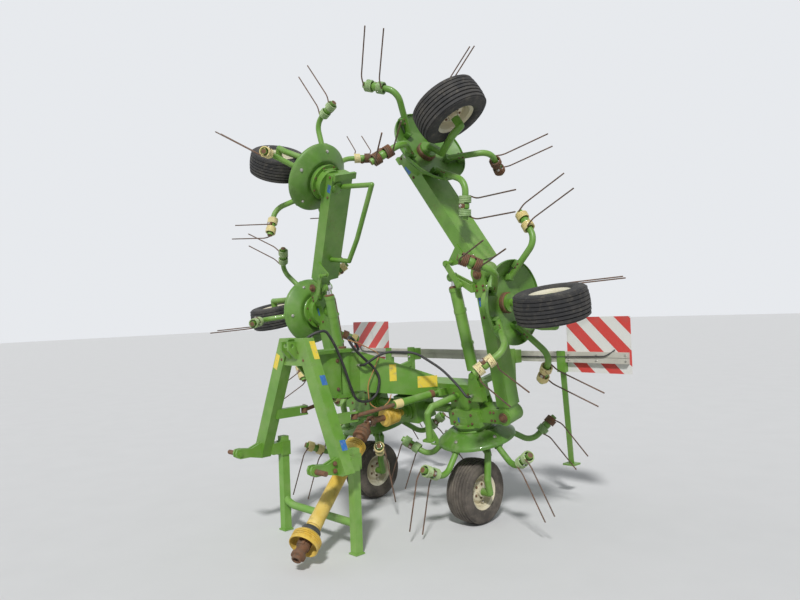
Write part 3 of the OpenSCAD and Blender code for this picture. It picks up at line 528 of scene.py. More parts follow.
class Workpiece:
    """A mesh in the making, in millimetres, shaped with bmesh operators."""

    def __init__(self, name: str, *finishes: str) -> None:
        """Starts an empty mesh.

        Args:
            name: The finished piece's name.
            finishes: Names of its finishes, in the order of the material slots.
        """
        self.name = name
        self.finishes = finishes
        self.bm = bmesh.new()

    def _merge(self, part: bmesh.types.BMesh, place: Matrix | None) -> None:
        """Moves a part to its place, adds it to the piece and frees it."""
        if place is not None:
            bmesh.ops.transform(part, matrix=place, verts=part.verts)
            if place.determinant() < 0:
                bmesh.ops.reverse_faces(part, faces=part.faces)
        scratch = bpy.data.meshes.new("scratch")
        part.to_mesh(scratch)
        part.free()
        self.bm.from_mesh(scratch)
        bpy.data.meshes.remove(scratch)

    def _take(self, part: bmesh.types.BMesh, place: Matrix | None, finish: str | None) -> None:
        """Gives a finished part its material and adds it to the piece."""
        index = self.finishes.index(finish) if finish else 0
        for face in part.faces:
            face.material_index = index
        self._merge(part, place)

    def add_piece(self, other: "Workpiece", place: Matrix) -> None:
        """Adds a copy of another piece, which shares this one's list of finishes."""
        self._merge(other.bm.copy(), place)

    @staticmethod
    def _bevel(part: bmesh.types.BMesh, width: float, sharp: float = 40.0) -> None:
        """Rounds the edges that are sharper than an angle in degrees."""
        sharp_edges = [
            e for e in part.edges if len(e.link_faces) == 2 and e.calc_face_angle() > math.radians(sharp)
        ]
        bmesh.ops.bevel(
            part, geom=sharp_edges, offset=width, affect="EDGES", segments=2, profile=0.5, material=-1,
            clamp_overlap=True,
        )

    def block(
        self,
        low: Point,
        high: Point,
        bevel: float = 2.0,
        finish: str | None = None,
        place: Matrix | None = None,
    ) -> None:
        """Adds a block with rounded edges between two corners.

        Args:
            low: The corner with the lowest coordinates.
            high: The corner across from it.
            bevel: Rounding of its edges.
            finish: Name of the finish, the piece's first if left out.
            place: Takes the block to its seat.
        """
        part = bmesh.new()
        low_v, high_v = Vector(low), Vector(high)
        size = high_v - low_v
        bmesh.ops.create_cube(part, size=1.0)
        bmesh.ops.scale(part, vec=size, verts=part.verts)
        bmesh.ops.translate(part, vec=(low_v + high_v) / 2, verts=part.verts)
        if bevel:
            self._bevel(part, min(bevel, min(size) * 0.45))
        self._take(part, place, finish)

    def drum(
        self,
        p: Point,
        q: Point,
        radius: float,
        bevel: float = 1.5,
        finish: str | None = None,
        sides: int = 24,
        place: Matrix | None = None,
    ) -> None:
        """Adds a round bar from p to q.

        Args:
            p: Middle of its first end.
            q: Middle of its other end.
            radius: Its radius.
            bevel: Rounding of its rims.
            finish: Name of the finish, the piece's first if left out.
            sides: Corners of its section; six make a nut.
            place: Takes the bar to its seat.
        """
        part = bmesh.new()
        length = (Vector(q) - Vector(p)).length
        bmesh.ops.create_cone(
            part, cap_ends=True, segments=sides, radius1=radius, radius2=radius, depth=length
        )
        bmesh.ops.translate(part, vec=(0, 0, length / 2), verts=part.verts)
        if bevel:
            self._bevel(part, min(bevel, length * 0.3), 50)
        turn = aim(p, q)
        self._take(part, place @ turn if place is not None else turn, finish)

    def lathe(
        self,
        profile: Iterable[Point],
        finish: str | None = None,
        steps: int = 48,
        closed: bool = True,
        place: Matrix | None = None,
    ) -> None:
        """Turns a profile about the z axis.

        Args:
            profile: Corners as radius and height.
            finish: Name of the finish, the piece's first if left out.
            steps: Corners of the full round.
            closed: Whether the profile is a ring, rather than a line that ends on the axis.
            place: Takes the shape to its seat.
        """
        part = bmesh.new()
        verts = [bmesh.ops.create_vert(part, co=(r, 0, z))["vert"][0] for r, z in profile]
        pairs = list(zip(verts, verts[1:])) + ([(verts[-1], verts[0])] if closed else [])
        edges = [part.edges.new(pair) for pair in pairs]
        bmesh.ops.spin(
            part, geom=[*verts, *edges], cent=(0, 0, 0), axis=(0, 0, 1), angle=math.tau, steps=steps,
            use_merge=True,
        )
        bmesh.ops.remove_doubles(part, verts=part.verts, dist=0.01)
        bmesh.ops.recalc_face_normals(part, faces=part.faces)
        self._take(part, place, finish)

    def tube(
        self,
        path: Sequence[Vector],
        diameter: float,
        finish: str | None = None,
        sides: int = 10,
        place: Matrix | None = None,
        taper: float = 1.0,
    ) -> None:
        """Sweeps a circle along a path by extruding its rim from point to point.

        Args:
            path: Points of the middle line.
            diameter: The tube's diameter at its start.
            finish: Name of the finish.
            sides: Corners of its section.
            place: Takes the tube to its seat.
            taper: Diameter at the end as a share of that at the start.
        """
        part = bmesh.new()
        points = [Vector(p) for p in path]
        last = len(points) - 1
        ways = [(points[min(i + 1, last)] - points[max(i - 1, 0)]).normalized() for i in range(last + 1)]
        side = ways[0].orthogonal().normalized()
        frames = []
        for i, (point, way) in enumerate(zip(points, ways)):
            side = (side - way * side.dot(way)).normalized()
            up = way.cross(side)
            share = 1 + (taper - 1) * i / last
            wide = 1.0
            if 0 < i < last:
                before, after = points[i] - points[i - 1], points[i + 1] - points[i]
                straight = before.normalized().dot(after.normalized())
                wide = 1 / math.sqrt(max(0.3, (1 + straight) / 2))
            frame = Matrix((side, up, way)).transposed().to_4x4()
            size = Matrix.Scale(share * (1 + (wide - 1) * 0.5), 4)
            frames.append(Matrix.Translation(point) @ frame @ size)
        rim = bmesh.ops.create_circle(part, cap_ends=False, segments=sides, radius=diameter / 2)["verts"]
        bmesh.ops.transform(part, matrix=frames[0], verts=rim)
        edges = list(part.edges)
        bmesh.ops.contextual_create(part, geom=edges)
        for before, after in zip(frames, frames[1:]):
            grown = bmesh.ops.extrude_edge_only(part, edges=edges)["geom"]
            verts = [g for g in grown if isinstance(g, bmesh.types.BMVert)]
            edges = [g for g in grown if isinstance(g, bmesh.types.BMEdge)]
            bmesh.ops.transform(part, matrix=after @ before.inverted(), verts=verts)
        bmesh.ops.contextual_create(part, geom=edges)
        bmesh.ops.recalc_face_normals(part, faces=part.faces)
        self._take(part, place, finish)

    def bolt(
        self, p: Point, way: Point, size: float, finish: str | None = None, place: Matrix | None = None
    ) -> None:
        """Adds a hexagon head on its washer, with the bolt's end.

        Args:
            p: Where the washer lies.
            way: Direction in which the head points.
            size: Radius of the head.
            finish: Name of the finish, the piece's first if left out.
            place: Takes the bolt to its seat.
        """
        foot, out = Vector(p), Vector(way).normalized()
        for start, end, radius, bevel, sides in (
            (0.0, 0.14, 1.15, 0.0, 20), (0.1, 0.75, 1.0, 0.12, 6), (0.7, 1.05, 0.5, 0.0, 10)
        ):
            a, b = foot + out * size * start, foot + out * size * end
            self.drum(a, b, size * radius, size * bevel, finish, sides, place)

    def finish(
        self,
        palette: Palette,
        place: Matrix,
        body: str,
        slot: str,
        replaces: Sequence[str] = (),
        smooth: float = 38.0,
    ) -> bpy.types.Object:
        """Takes the mesh to its seat and hangs it on its body.

        Args:
            palette: Where the materials come from.
            place: From millimetres of the carrier to the machine's metres.
            body: The body that the piece moves with.
            slot: The record's material slot; not used.
            replaces: CAD nodes that the piece stands for.
            smooth: Angle in degrees over which an edge stays sharp.

        Returns:
            The finished object.
        """
        bmesh.ops.transform(self.bm, matrix=place, verts=self.bm.verts)
        if place.determinant() < 0:
            bmesh.ops.reverse_faces(self.bm, faces=self.bm.faces)
        mesh = bpy.data.meshes.new(self.name)
        self.bm.to_mesh(mesh)
        self.bm.free()
        mesh.polygons.foreach_set("use_smooth", [True] * len(mesh.polygons))
        mesh.set_sharp_from_angle(angle=math.radians(smooth))
        for name in self.finishes:
            mesh.materials.append(palette[name])
        piece = bpy.data.objects.new(self.name, mesh)
        bpy.context.scene.collection.objects.link(piece)
        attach(piece, body)
        if replaces:
            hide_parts(*replaces)
        LOG.info("%s: %d faces on %s", self.name, len(mesh.polygons), body)
        return piece


def arc(centre: Vector, start: Vector, axis: Vector, degrees: float, steps: int) -> list[Vector]:
    """Points on an arc.

    Args:
        centre: The arc's centre.
        start: Its first point.
        axis: Axis of the turn.
        degrees: How far it turns.
        steps: Number of steps.

    Returns:
        The points, the first one included.
    """
    arm, angle = start - centre, math.radians(degrees)
    return [centre + Matrix.Rotation(angle * i / steps, 3, axis) @ arm for i in range(steps + 1)]


def spins(count: int, shift: float = 0.0) -> list[Matrix]:
    """Turns about z that share a full round evenly; shift is a share of one step."""
    return [Matrix.Rotation(math.tau * (i + shift) / count, 4, "Z") for i in range(count)]


def over_ground(p: Point) -> Vector:
    """A point of the leaning rotor frame in the ground's millimetres."""
    return Placement().ground().inverted() @ Placement().frame() @ Vector(p)


def rounded(points: Sequence[Point], radius: float, steps: int = 6) -> list[Vector]:
    """A path whose corners are rounded, for bent tubes and wire.

    Args:
        points: Corners of the path.
        radius: How far before and after a corner its curve begins, at most.
        steps: Number of steps in a curve.

    Returns:
        The points of the path.
    """
    corners = [Vector(p) for p in points]
    path = [corners[0]]
    for before, corner, after in zip(corners, corners[1:], corners[2:]):
        cut = min(radius, (before - corner).length * 0.45, (after - corner).length * 0.45)
        first = corner + (before - corner).normalized() * cut
        last = corner + (after - corner).normalized() * cut
        for i in range(steps + 1):
            t = i / steps
            path.append(first * (1 - t) ** 2 + corner * 2 * t * (1 - t) + last * t**2)
    path.append(corners[-1])
    return path


@dataclass
class TinedRotor:
    """A rotor: pressed disc, hub, five bent arms, coils and tines."""

    node: str
    side: Side
    stage: Stage
    first_angle: float
    coils: str
    disc_drop: float = 250
    disc_r: float = 250
    flat_r: float = 165
    fall: float = 58
    lip: float = 18
    hub_r: float = 36
    arms: int = 5
    arm_d: float = 38
    arm_root: Spot = (150, 0, -30)
    arm_run: float = 200
    slope: float = 38.6
    rise: float = 35
    bend: float = 90
    reach: float = 155
    wire: float = 9.5
    coil_d: float = 74
    coil_turns: float = 4.6
    coil_steps: int = 60
    foot_length: float = 60
    foot_angle: float = 50
    tine_length: float = 300
    tine_angle: float = 28
    saddle_r: float = 215
    skirt_bolt_r: float = 206
    finishes: tuple[str, ...] = ("shade_darkened_green", "green", "coil_cream", "coil_green", "rusty", "tine", "bright")

    def _coil(self, arm: Workpiece, turn: Vector, out: Vector, start: float, end: float, finish: str) -> None:
        """Winds one coil on the arm's end, with the tine that springs from it.

        Args:
            arm: The piece that gets them.
            turn: Where the arm's straight end begins.
            out: The end's direction.
            start: Distance along the end at which the wire begins.
            end: Distance at which it meets the clamp.
            finish: Name of the coil's finish.
        """
        flat, back = Vector((out.z, 0, -out.x)), Vector((0, -1, 0))
        r = self.coil_d / 2 - self.wire / 2
        wind = []
        for i in range(self.coil_steps + 1):
            angle = -math.tau * self.coil_turns * i / self.coil_steps
            s = start + (end - start) * i / self.coil_steps
            wind.append(turn + out * s + r * (back * math.cos(angle) + flat * math.sin(angle)))
        arm.tube(wind, self.wire, finish, 8)
        lean, fall = math.radians(self.foot_angle), math.radians(self.tine_angle)
        foot = wind[0] + self.foot_length * Vector((math.sin(lean), 0, -math.cos(lean)))
        tip = foot + self.tine_length * Vector((math.sin(fall), 0, -math.cos(fall)))
        leg = rounded([wind[0] - flat * 3, wind[0] + flat * 6, foot, tip], 26, 5)
        arm.tube(leg[:6], self.wire, finish, 8)
        arm.tube(leg[5:], self.wire * 0.97, "tine", 8, taper=0.9)

    def _arm(self, colours: str) -> Workpiece:
        """One arm with its clamp, saddle, coils and tines.

        Args:
            colours: The two coils' finishes by letter, the inner one first.

        Returns:
            The arm, along x from the disc's middle.
        """
        arm = Workpiece("arm", *self.finishes)
        down, up = math.radians(self.slope), math.radians(self.rise)
        root = Vector(self.arm_root)
        curve = root + self.arm_run * Vector((math.cos(down), 0, -math.sin(down)))
        centre = curve + self.bend * Vector((math.sin(down), 0, math.cos(down)))
        path = [root, *arc(centre, curve, Vector((0, -1, 0)), self.slope + self.rise, 8)]
        turn = path[-1]
        out = Vector((math.cos(up), 0, math.sin(up)))
        path.append(turn + out * self.reach)
        arm.tube(path, self.arm_d, "green", 16)
        plug = turn + out * (self.reach - 1), turn + out * (self.reach + 0.4)
        arm.drum(*plug, self.arm_d / 2 - 2, 0.8, "rusty")
        for start, end, colour in ((18, 61, colours[0]), (136, 93, colours[1])):
            finish = {"c": "coil_cream", "g": "coil_green", "r": "rusty"}[colour]
            self._coil(arm, turn, out, start, end, finish)
        clamp = aim(turn + out * 62, turn + out * 92)
        arm.drum((0, 0, 0), (0, 0, 30), 25, 3, "green", place=clamp)
        arm.block((-17, 14, 2), (17, 37, 28), 4, "rusty", clamp)
        arm.bolt((0, 36, 15), (0, 1, 0), 8, "bright", clamp)
        depth = root.z - (self.saddle_r - root.x) * math.tan(down)
        saddle = Matrix.Translation((self.saddle_r, 0, depth)) @ Matrix.Rotation(down, 4, "Y")
        # The saddles take the darker green copy, which is painted shade.
        arm.block((-23, -27, -4), (23, 27, 35), 5, "shade_darkened_green", saddle)
        arm.block((132, -24, -44), (168, 24, -6), 4, "shade_darkened_green")
        skirt = math.atan2(self.fall, self.disc_r - self.flat_r)
        seat = Vector((self.skirt_bolt_r, 0, -(self.skirt_bolt_r - self.flat_r) * math.tan(skirt)))
        arm.bolt(seat, (math.sin(skirt), 0, math.cos(skirt)), 10, "bright")
        for y in (-19, 19):
            for x in (-12, 12):
                arm.drum((x, y, -9), (x, y, 2), 6, 1, "rusty", 6, saddle)
        return arm

    def _disc(self) -> Workpiece:
        """The pressed disc with its rolled lip, the hub and the bearing's cap."""
        piece = Workpiece("tined_" + self.node, *self.finishes)
        r, flat, fall, hub = self.disc_r, self.flat_r, self.fall, self.hub_r
        low = -fall - self.lip
        rise = fall / (r - flat)
        top = [
            (hub, 0), (flat - 32, 0), (flat - 27, 3), (flat - 12, 3), (flat - 6, 0), (flat, -2),
            (r - 14, -(r - 14 - flat) * rise), (r - 2, -fall), (r, -fall - 6), (r, low),
        ]
        under = [
            (r - 5, low), (r - 6, -fall - 6), (r - 18, -fall + 2), (flat - 1, -7), (flat - 8, -5.5),
            (hub, -5.5),
        ]
        # The disc takes the darker green copy, which is painted shade.
        piece.lathe(top + under, "shade_darkened_green", 72)
        piece.lathe(
            [(hub, 29.5), (104, 29.5), (110, 26), (112, 20), (112, 6), (118, 0), (hub, 0)], "green", 56
        )
        piece.lathe([(hub, -5), (60, -5), (62, -8), (62, -30), (57, -35), (hub, -35)], "rusty", 40)
        for spin in spins(10, 0.5):
            piece.bolt((46, 0, -35), (0, 0, -1), 5, "rusty", spin)
        return piece

    def build(self, palette: Palette) -> None:
        """Builds the whole rotor in place of its solid."""
        piece = self._disc()
        for i in range(self.arms):
            arm = self._arm(self.coils[2 * i : 2 * i + 2])
            angle = math.radians(self.first_angle + 360 / self.arms * i)
            piece.add_piece(arm, Matrix.Rotation(angle, 4, "Z"))
            arm.bm.free()
        seat = Matrix.Translation((FIRST_X + PITCH * self.stage.value, 0, -self.disc_drop))
        place = Placement(self.side, self.stage).wing() @ seat
        piece.finish(palette, place, self.node, "green_paint", [self.node])


@dataclass
class TransportWheel:
    """A small ribbed tyre on its dished rim."""

    name: str
    side: Side
    stage: Stage
    leg_side: int
    rubber: str
    tyre_w: float = 172
    rim_d: float = 212
    ribs: int = 7
    rib_half: float = 7.4
    tread_w: float = 128
    groove: float = 7
    crown: float = 0.0016

    def build(self, palette: Palette) -> None:
        """Builds the tyre and the rim in place of their solids."""
        turn = Matrix.Diagonal((self.leg_side, 1, 1, 1)) @ Matrix.Rotation(math.pi / 2, 4, "Y")
        centre = Matrix.Translation((FIRST_X + PITCH * self.stage.value, -WHEEL_LEAD, -WHEEL_DROP))
        place = Placement(self.side, self.stage).wing() @ centre @ turn
        body = "wheel_" + self.name
        self._tyre().finish(palette, place, body, "tyre", ["tyre_" + self.name])
        self._rim().finish(palette, place, body, "cream_paint", ["rim_" + self.name])

    def _tyre(self) -> Workpiece:
        """The tyre with its round ribs."""
        t, w, s = TYRE_D / 2, self.tyre_w / 2, self.rim_d / 2
        tread: list[tuple[float, float]] = []
        for i in range(self.ribs):
            middle = self.tread_w * (i / (self.ribs - 1) - 0.5)
            top, low = t - self.crown * middle**2, t - self.crown * middle**2 - self.groove
            first, last = middle - self.rib_half, middle + self.rib_half
            tread += [(low, first - 1.2), (top, first), (top, last), (low, last + 1.2)]
        wall = [
            (s + 1, 60), (s + 6, 66), (s + 12, w - 9), (s + 24, w - 3), (t - 62, w), (t - 46, w - 0.5),
            (t - 32, w - 3), (t - 26, w - 2), (t - 20, w - 5), (t - 14, w - 9),
        ]
        profile = [(r, -z) for r, z in wall] + tread + [(r, z) for r, z in reversed(wall)]
        tyre = Workpiece("ribbed_tyre_" + self.name, self.rubber)
        tyre.lathe([*profile, (s, 50), (s, -50)], self.rubber, 72)
        return tyre

    def _rim(self) -> Workpiece:
        """The dished rim with its bolts, axle end and valve."""
        s = self.rim_d / 2
        edge = [(s, 62), (s + 5, 68), (s + 9, 70), (s + 10, 66), (s + 3, 60), (s, 56)]
        dish = [(32, 60), (32, 36), (58, 36), (66, 30), (74, 19), (86, 16), (s - 18, 16), (s - 14, 26)]
        back = [(s - 8, -58), (s - 14, -38), (85, 9), (73, 9), (60, 24), (32, 24), (32, -52)]
        back += [(16, -52), (16, 60)]
        rim = Workpiece("dished_rim_" + self.name, "cream", "rusty", "bright")
        profile = dish + [(s - 12, 46), (s - 8, 58)] + edge + [(r, -z) for r, z in reversed(edge)] + back
        rim.lathe(profile, "cream", 56)
        for spin in spins(5):
            rim.bolt((45, 0, 35), (0, 0, 1), 8, "rusty", spin)
        rim.drum((0, 0, 50), (0, 0, 61), 20, 3, "rusty")
        rim.drum((s - 30, 0, 24), (s - 36, 0, 50), 4, 1, "bright", 10)
        return rim


@dataclass
class DriveShaft:
    """The guarded drive shaft with its ribbed bell and splined yoke."""

    way: Spot = (339, -813, -565)
    length: float = 1080
    guard_end: float = 860
    guard_bore: float = 36.2
    bell: float = 915
    splines: int = 6

    def build(self, palette: Palette) -> None:
        """Builds the guard tube, the bell and the yoke."""
        start = Vector(SHAFT_JOINT)
        end = start + Vector(self.way).normalized() * self.length
        place = Placement().ground() @ aim(start, end)
        self._guard().finish(palette, place, "pto_guard", "yellow_guard", ["pto_guard"])
        self._inner().finish(palette, place, "pto_inner", "yellow_guard", ["pto_inner"])

    def _guard(self) -> Workpiece:
        """The joint's yoke, the rusty overload clutch, the ribbed cone and the outer tube."""
        guard = Workpiece("shaft_guard", "yellow", "rusty", "bright")
        guard.drum((0, 0, -16), (0, 0, 16), 17, 4, "rusty")
        guard.drum((0, -22, 0), (0, 22, 0), 11, 2, "bright", 20)
        for y in (-13, 13):
            guard.block((-13, y - 7, 0), (13, y + 7, 56), 5, "rusty")
        guard.drum((0, 0, 42), (0, 0, 70), 33, 4, "rusty")
        clutch = [
            (0, 70), (40, 72), (49, 76), (50, 80), (50, 92), (46, 94), (46, 98), (50, 100), (50, 122),
            (46, 124), (46, 128), (50, 130), (50, 142), (47, 146), (28, 148), (26, 152), (26, 208), (0, 208),
        ]
        guard.lathe(clutch, "rusty", 40, closed=False)
        for spin in spins(6):
            guard.bolt((38, 0, 70), (0, 0, -1), 6, "rusty", spin)
        cone: list[tuple[float, float]] = [(27, 204), (58, 204), (63, 208)]
        for i in range(4):
            z = 212 + i * 13
            cone += [(67 - i, z), (67 - i, z + 5), (60 - 1.6 * i, z + 7), (59 - 1.6 * i, z + 10)]
        e, bore = self.guard_end, self.guard_bore
        cone += [(52, 268), (47, 286), (47, 296), (42, 299), (42, 500), (42, e - 60), (44, e - 56)]
        cone += [(44, e - 4), (42, e), (bore, e), (bore, 232), (27, 232)]
        guard.lathe(cone, "yellow", 44)
        return guard

    def _inner(self) -> Workpiece:
        """The inner tube, the collar, the ribbed bell and the open yoke end."""
        inner = Workpiece("shaft_bell_and_yoke", "yellow", "rusty", "black")
        b, e = self.bell, self.length
        inner.lathe([(30, 435), (35.8, 435), (35.8, b - 30), (30, b - 30)], "yellow", 36)
        collar = [(20, b - 34), (54, b - 34), (57, b - 30), (57, b - 6), (54, b), (20, b)]
        inner.lathe(collar, "black", 36)
        ribs: list[tuple[float, float]] = [(40, b - 2), (62, b), (74, b + 6), (81, b + 15)]
        for i in range(3):
            z = b + 20 + i * 11
            ribs += [(85, z), (85, z + 5), (79, z + 7), (79, z + 9)]
        ribs += [(84, b + 56), (85, b + 72), (84, b + 76), (80, b + 76)]
        ribs += [(76, b + 60), (73, b + 26), (60, b + 12), (40, b + 8)]
        inner.lathe(ribs, "yellow", 52)
        cross = b + 62
        inner.drum((0, 0, b), (0, 0, b + 46), 30, 3, "rusty")
        for x in (-33, 33):
            inner.block((x - 7, -22, b + 24), (x + 7, 22, b + 84), 5, "rusty")
        inner.drum((-40, 0, cross), (40, 0, cross), 13, 3, "rusty", 20)
        inner.drum((0, -36, cross), (0, 36, cross), 13, 3, "rusty", 20)
        yoke = [
            (17.8, e - 90), (17.8, e), (25, e), (28, e - 3), (28, e - 16), (34, e - 19), (40.5, e - 22),
            (40.5, e - 38), (34, e - 42), (31, e - 60), (31, e - 78), (38, e - 84), (38, e - 90),
        ]
        inner.lathe(yoke, "rusty", 40)
        inner.drum((0, 0, e - 118), (0, 0, e - 88), 37, 5, "rusty")
        for spin in spins(self.splines):
            inner.block((16.0, -3, e - 88), (18.4, 3, e - 2), 0.6, "rusty", spin)
        return inner


@dataclass(frozen=True)
class Zone:
    """Faces of a kept solid that lie close round a line, which get a finish of their own."""

    node: str
    finish: str
    start: Vector
    end: Vector
    radius: float

    def holds(self, point: Vector) -> bool:
        """Whether a point in metres lies within the radius of the line."""
        way = self.end - self.start
        along = max(0.0, min(1.0, (point - self.start).dot(way) / way.length_squared))
        return (point - self.start - way * along).length < self.radius


@dataclass
class SteelFrame:
    """Paint of the frame's solids, which keep their shape."""

    green: tuple[str, ...] = (
        "center_beam", "boom", "main_gearbox", "rack_frame", "headstock", "damper_left", "damper_right",
        "rotor_guards", "fold_cylinder_left", "fold_cylinder_right", "fold_link_left", "fold_link_right",
        "wing_inner_left", "wing_inner_right", "wing_outer_left", "wing_outer_right",
    )
    others: dict[str, str] = field(default_factory=lambda: {
        "stand": "pale_green", "damper_rod_left": "rusty", "damper_rod_right": "rusty",
        "fold_rod_left": "chrome", "fold_rod_right": "chrome", "rack_bar": "wood",
        "warning_boards": "stripes_left", "rack_lamps": "lens", "drive_shaft": "yellow",
    })
    pin_ends: tuple[float, float] = (66.6, 84)
    pin_zone_r: float = 31
    collar_zone_r: float = 27

    def _zones(self) -> list[Zone]:
        """Pins, bolts and worn ends of the solids."""
        near, far = self.pin_ends
        spots = []
        for side in Side:
            ground, wing = Placement(side).ground(), "wing_inner_" + side.word
            frame, inner = Placement(side).frame(), Placement(side, Stage.INNER).wing()
            spots += [
                ("headstock", "rusty", ground, (408, -1188, 530), (500, -1188, 530), 17),
                ("headstock", "bright", ground, (250, -780, 760), (250, -780, 800), 13),
            ]
            for node, place, x in (("center_beam", frame, INNER_PIN_X), (wing, inner, OUTER_PIN_X)):
                for s in (-1, 1):
                    start, end = (x, s * near, -BEAM_DROP), (x, s * far, -BEAM_DROP)
                    spots.append((node, "rusty", place, start, end, self.pin_zone_r))
        middle = Placement().ground()
        neck = over_ground(NECK).lerp(Vector(SHAFT_JOINT), 0.52)
        spots += [
            ("headstock", "rusty", middle, (0, -650, 820), (0, -650, 849), self.collar_zone_r),
            ("headstock", "rusty", middle, (0, -650, 1150.5), (0, -650, 1180), self.collar_zone_r),
            ("drive_shaft", "rusty", middle, neck, SHAFT_JOINT, 45),
        ]
        return [Zone(n, finish, m @ Vector(a), m @ Vector(b), r / 1000) for n, finish, m, a, b, r in spots]

    def dress(self, nodes: dict[str, bpy.types.Object], palette: Palette) -> None:
        """Gives each kept solid its material, and its pins and boards their own."""
        finishes = {name: "green" for name in self.green} | self.others
        finishes |= {name: "green" for name in nodes if name.startswith("wheel_leg")}
        for name, finish in finishes.items():
            mesh = nodes[name].data
            mesh.materials.clear()
            mesh.materials.append(palette[finish])
            LOG.info("%s: %s", name, finish)
        boards = nodes["warning_boards"]
        boards.data.materials.append(palette["stripes_right"])
        for polygon in boards.data.polygons:
            if (boards.matrix_world @ polygon.center).x < 0:
                polygon.material_index = 1
        for zone in self._zones():
            piece = nodes[zone.node]
            mesh = piece.data
            inside = [zone.holds(piece.matrix_world @ v.co) for v in mesh.vertices]
            mesh.materials.append(palette[zone.finish])
            for polygon in mesh.polygons:
                if all(inside[v] for v in polygon.vertices):
                    polygon.material_index = len(mesh.materials) - 1


@dataclass
class Fittings:
    """Hoses, pipes, bolts, foils and lamp bodies that sit on the frame's solids."""

    hose_d: float = 16
    control_d: float = 17
    cord_d: float = 7
    pipe_d: float = 11
    union_r: float = 10.5
    hose_path: tuple[Spot, ...] = (
        (54, -575, 1040), (110, -575, 1040), (190, -470, 1120), (330, -330, 1110), (460, -230, 1000),
        (560, -200, 900),
    )
    control_path: tuple[Spot, ...] = (
        (70, -968, 1236), (96, -930, 1262), (118, -869, 1276), (125, -810, 1188), (121, -743, 1054),
        (112, -692, 933), (105, -640, 826), (110, -544, 807), (126, -478, 852), (134, -461, 956),
        (120, -494, 1019), (112, -570, 1084), (108, -644, 1149), (98, -680, 1209), (72, -650, 1228),
        (48, -592, 1200), (36, -552, 1152), (35, -545, 1118),
    )
    cord_path: tuple[Spot, ...] = (
        (108, -690, 1206), (112, -611, 1183), (112, -515, 1140), (132, -452, 1106), (122, -501, 1004),
        (104, -541, 918), (106, -533, 790), (140, -474, 752), (160, -410, 800), (160, -392, 843),
    )
    gear_cases: tuple[tuple[Stage, float, float, tuple[float, float]], ...] = (
        (Stage.MIDDLE, -100, 90, (-190, -134)),
        (Stage.INNER, -54, 54, (-170, -122)),
        (Stage.OUTER, -54, 136, (-170, -122)),
    )
    flange_r: float = 119
    flange_z: float = -206
    cap_r: float = 34
    cap_z: float = -88
    board_y: float = 559
    lamp_z: float = 1150
    cone_ribs: int = 9
    foil_half: float = 28
    foil_h: float = 32

    @staticmethod
    def _body(side: Side, stage: Stage) -> str:
        """The body that carries a stage."""
        return "frame" if stage is Stage.MIDDLE else "wing_%s_%s" % (stage.name.lower(), side.word)

    def build(self, palette: Palette) -> None:
        """Builds every fitting."""
        self._hoses(palette)
        self._loop(palette)
        for side in Side:
            for add in (self._pipes, self._bands, self._fold_joints, self._gear_cases, self._lamps):
                add(side, palette)
        for add in (self._beam_foils, self._leg_foils, self._boom_foils, self._tops, self._cone):
            add(palette)

    def _hoses(self, palette: Palette) -> None:
        """The two hoses from the boom to the fold cylinders."""
        piece = Workpiece("cylinder_hoses", "hose", "bright")
        foot, nipple = over_ground((620, -100, 0)), over_ground((620, -128, 0))
        path = [*self.hose_path, over_ground((620, -150, 0)), foot]
        for side in Side:
            mirror = Matrix.Diagonal((side.value, 1, 1, 1))
            piece.tube(rounded(path, 60, 7), self.hose_d, "hose", 12, mirror)
            for start, end in ((self.hose_path[0], (80, -575, 1040)), (foot, nipple)):
                piece.drum(start, end, self.union_r, 2, "bright", 6, mirror)
        piece.finish(palette, Placement().ground(), "frame", "hose_rubber", ["hoses"])

    def _loop(self, palette: Palette) -> None:
        """The slack control hose and the pull cord between the headstock's top and the boom."""
        piece = Workpiece("control_hose_and_cord", "hose", "cord", "bright")
        piece.tube(rounded(self.control_path, 60, 5), self.control_d, "hose", 12)
        piece.drum((35, -545, 1118), (35, -545, 1134), 11, 2, "bright", 6)
        piece.tube(rounded(self.cord_path, 40, 5), self.cord_d, "cord", 8)
        piece.finish(palette, Placement().ground(), "frame", "hose_rubber")

    def _pipes(self, side: Side, palette: Palette) -> None:
        """The steel pipe and its clamps beside a fold cylinder, and the gland at its end."""
        place = Placement(side).frame() @ aim((640, -75, 120), (613, -75, 745))
        piece = Workpiece("cylinder_pipe_" + side.word, "green", "bright", "rusty")
        low, high = 66, 536
        path = [(0, -34, low), (0, -46, low), (0, -47, 100), (0, -47, 500), (0, -46, high), (0, -34, high)]
        piece.tube(rounded(path, 14, 4), self.pipe_d, "rusty", 10)
        for z in (low, high):
            piece.drum((0, -32, z), (0, -40, z), 10, 1.5, "bright", 6)
        for z in (190, 400):
            piece.lathe([(35.1, z), (37.5, z), (37.5, z + 22), (35.1, z + 22)], "green", 40)
            piece.block((-9, -55, z), (9, -35, z + 22), 3, "green")
            piece.bolt((0, -55, z + 11), (0, -1, 0), 5, "rusty")
        piece.lathe([(19, 558), (30, 558), (34, 561), (34, 568), (24, 572), (19, 572)], "rusty", 36)
        piece.finish(palette, place, "fold_cylinder_" + side.word, "green_paint")

    def _bands(self, side: Side, palette: Palette) -> None:
        """Bands and nipple of a swivel damper."""
        place = Placement(side).ground() @ aim((360, -160, 845), (250, -780, 760))
        piece = Workpiece("damper_bands_" + side.word, "coil_cream", "rusty")
        piece.lathe([(24, 46), (26, 48), (26, 74), (24, 76)], "rusty", 36)
        piece.lathe([(24, 290), (27, 292), (27, 344), (24, 347)], "coil_cream", 36)
        piece.drum((0, -22, 110), (0, -31, 110), 7, 1.5, "rusty", 6)
        piece.finish(palette, place, "damper_" + side.word, "green_paint")

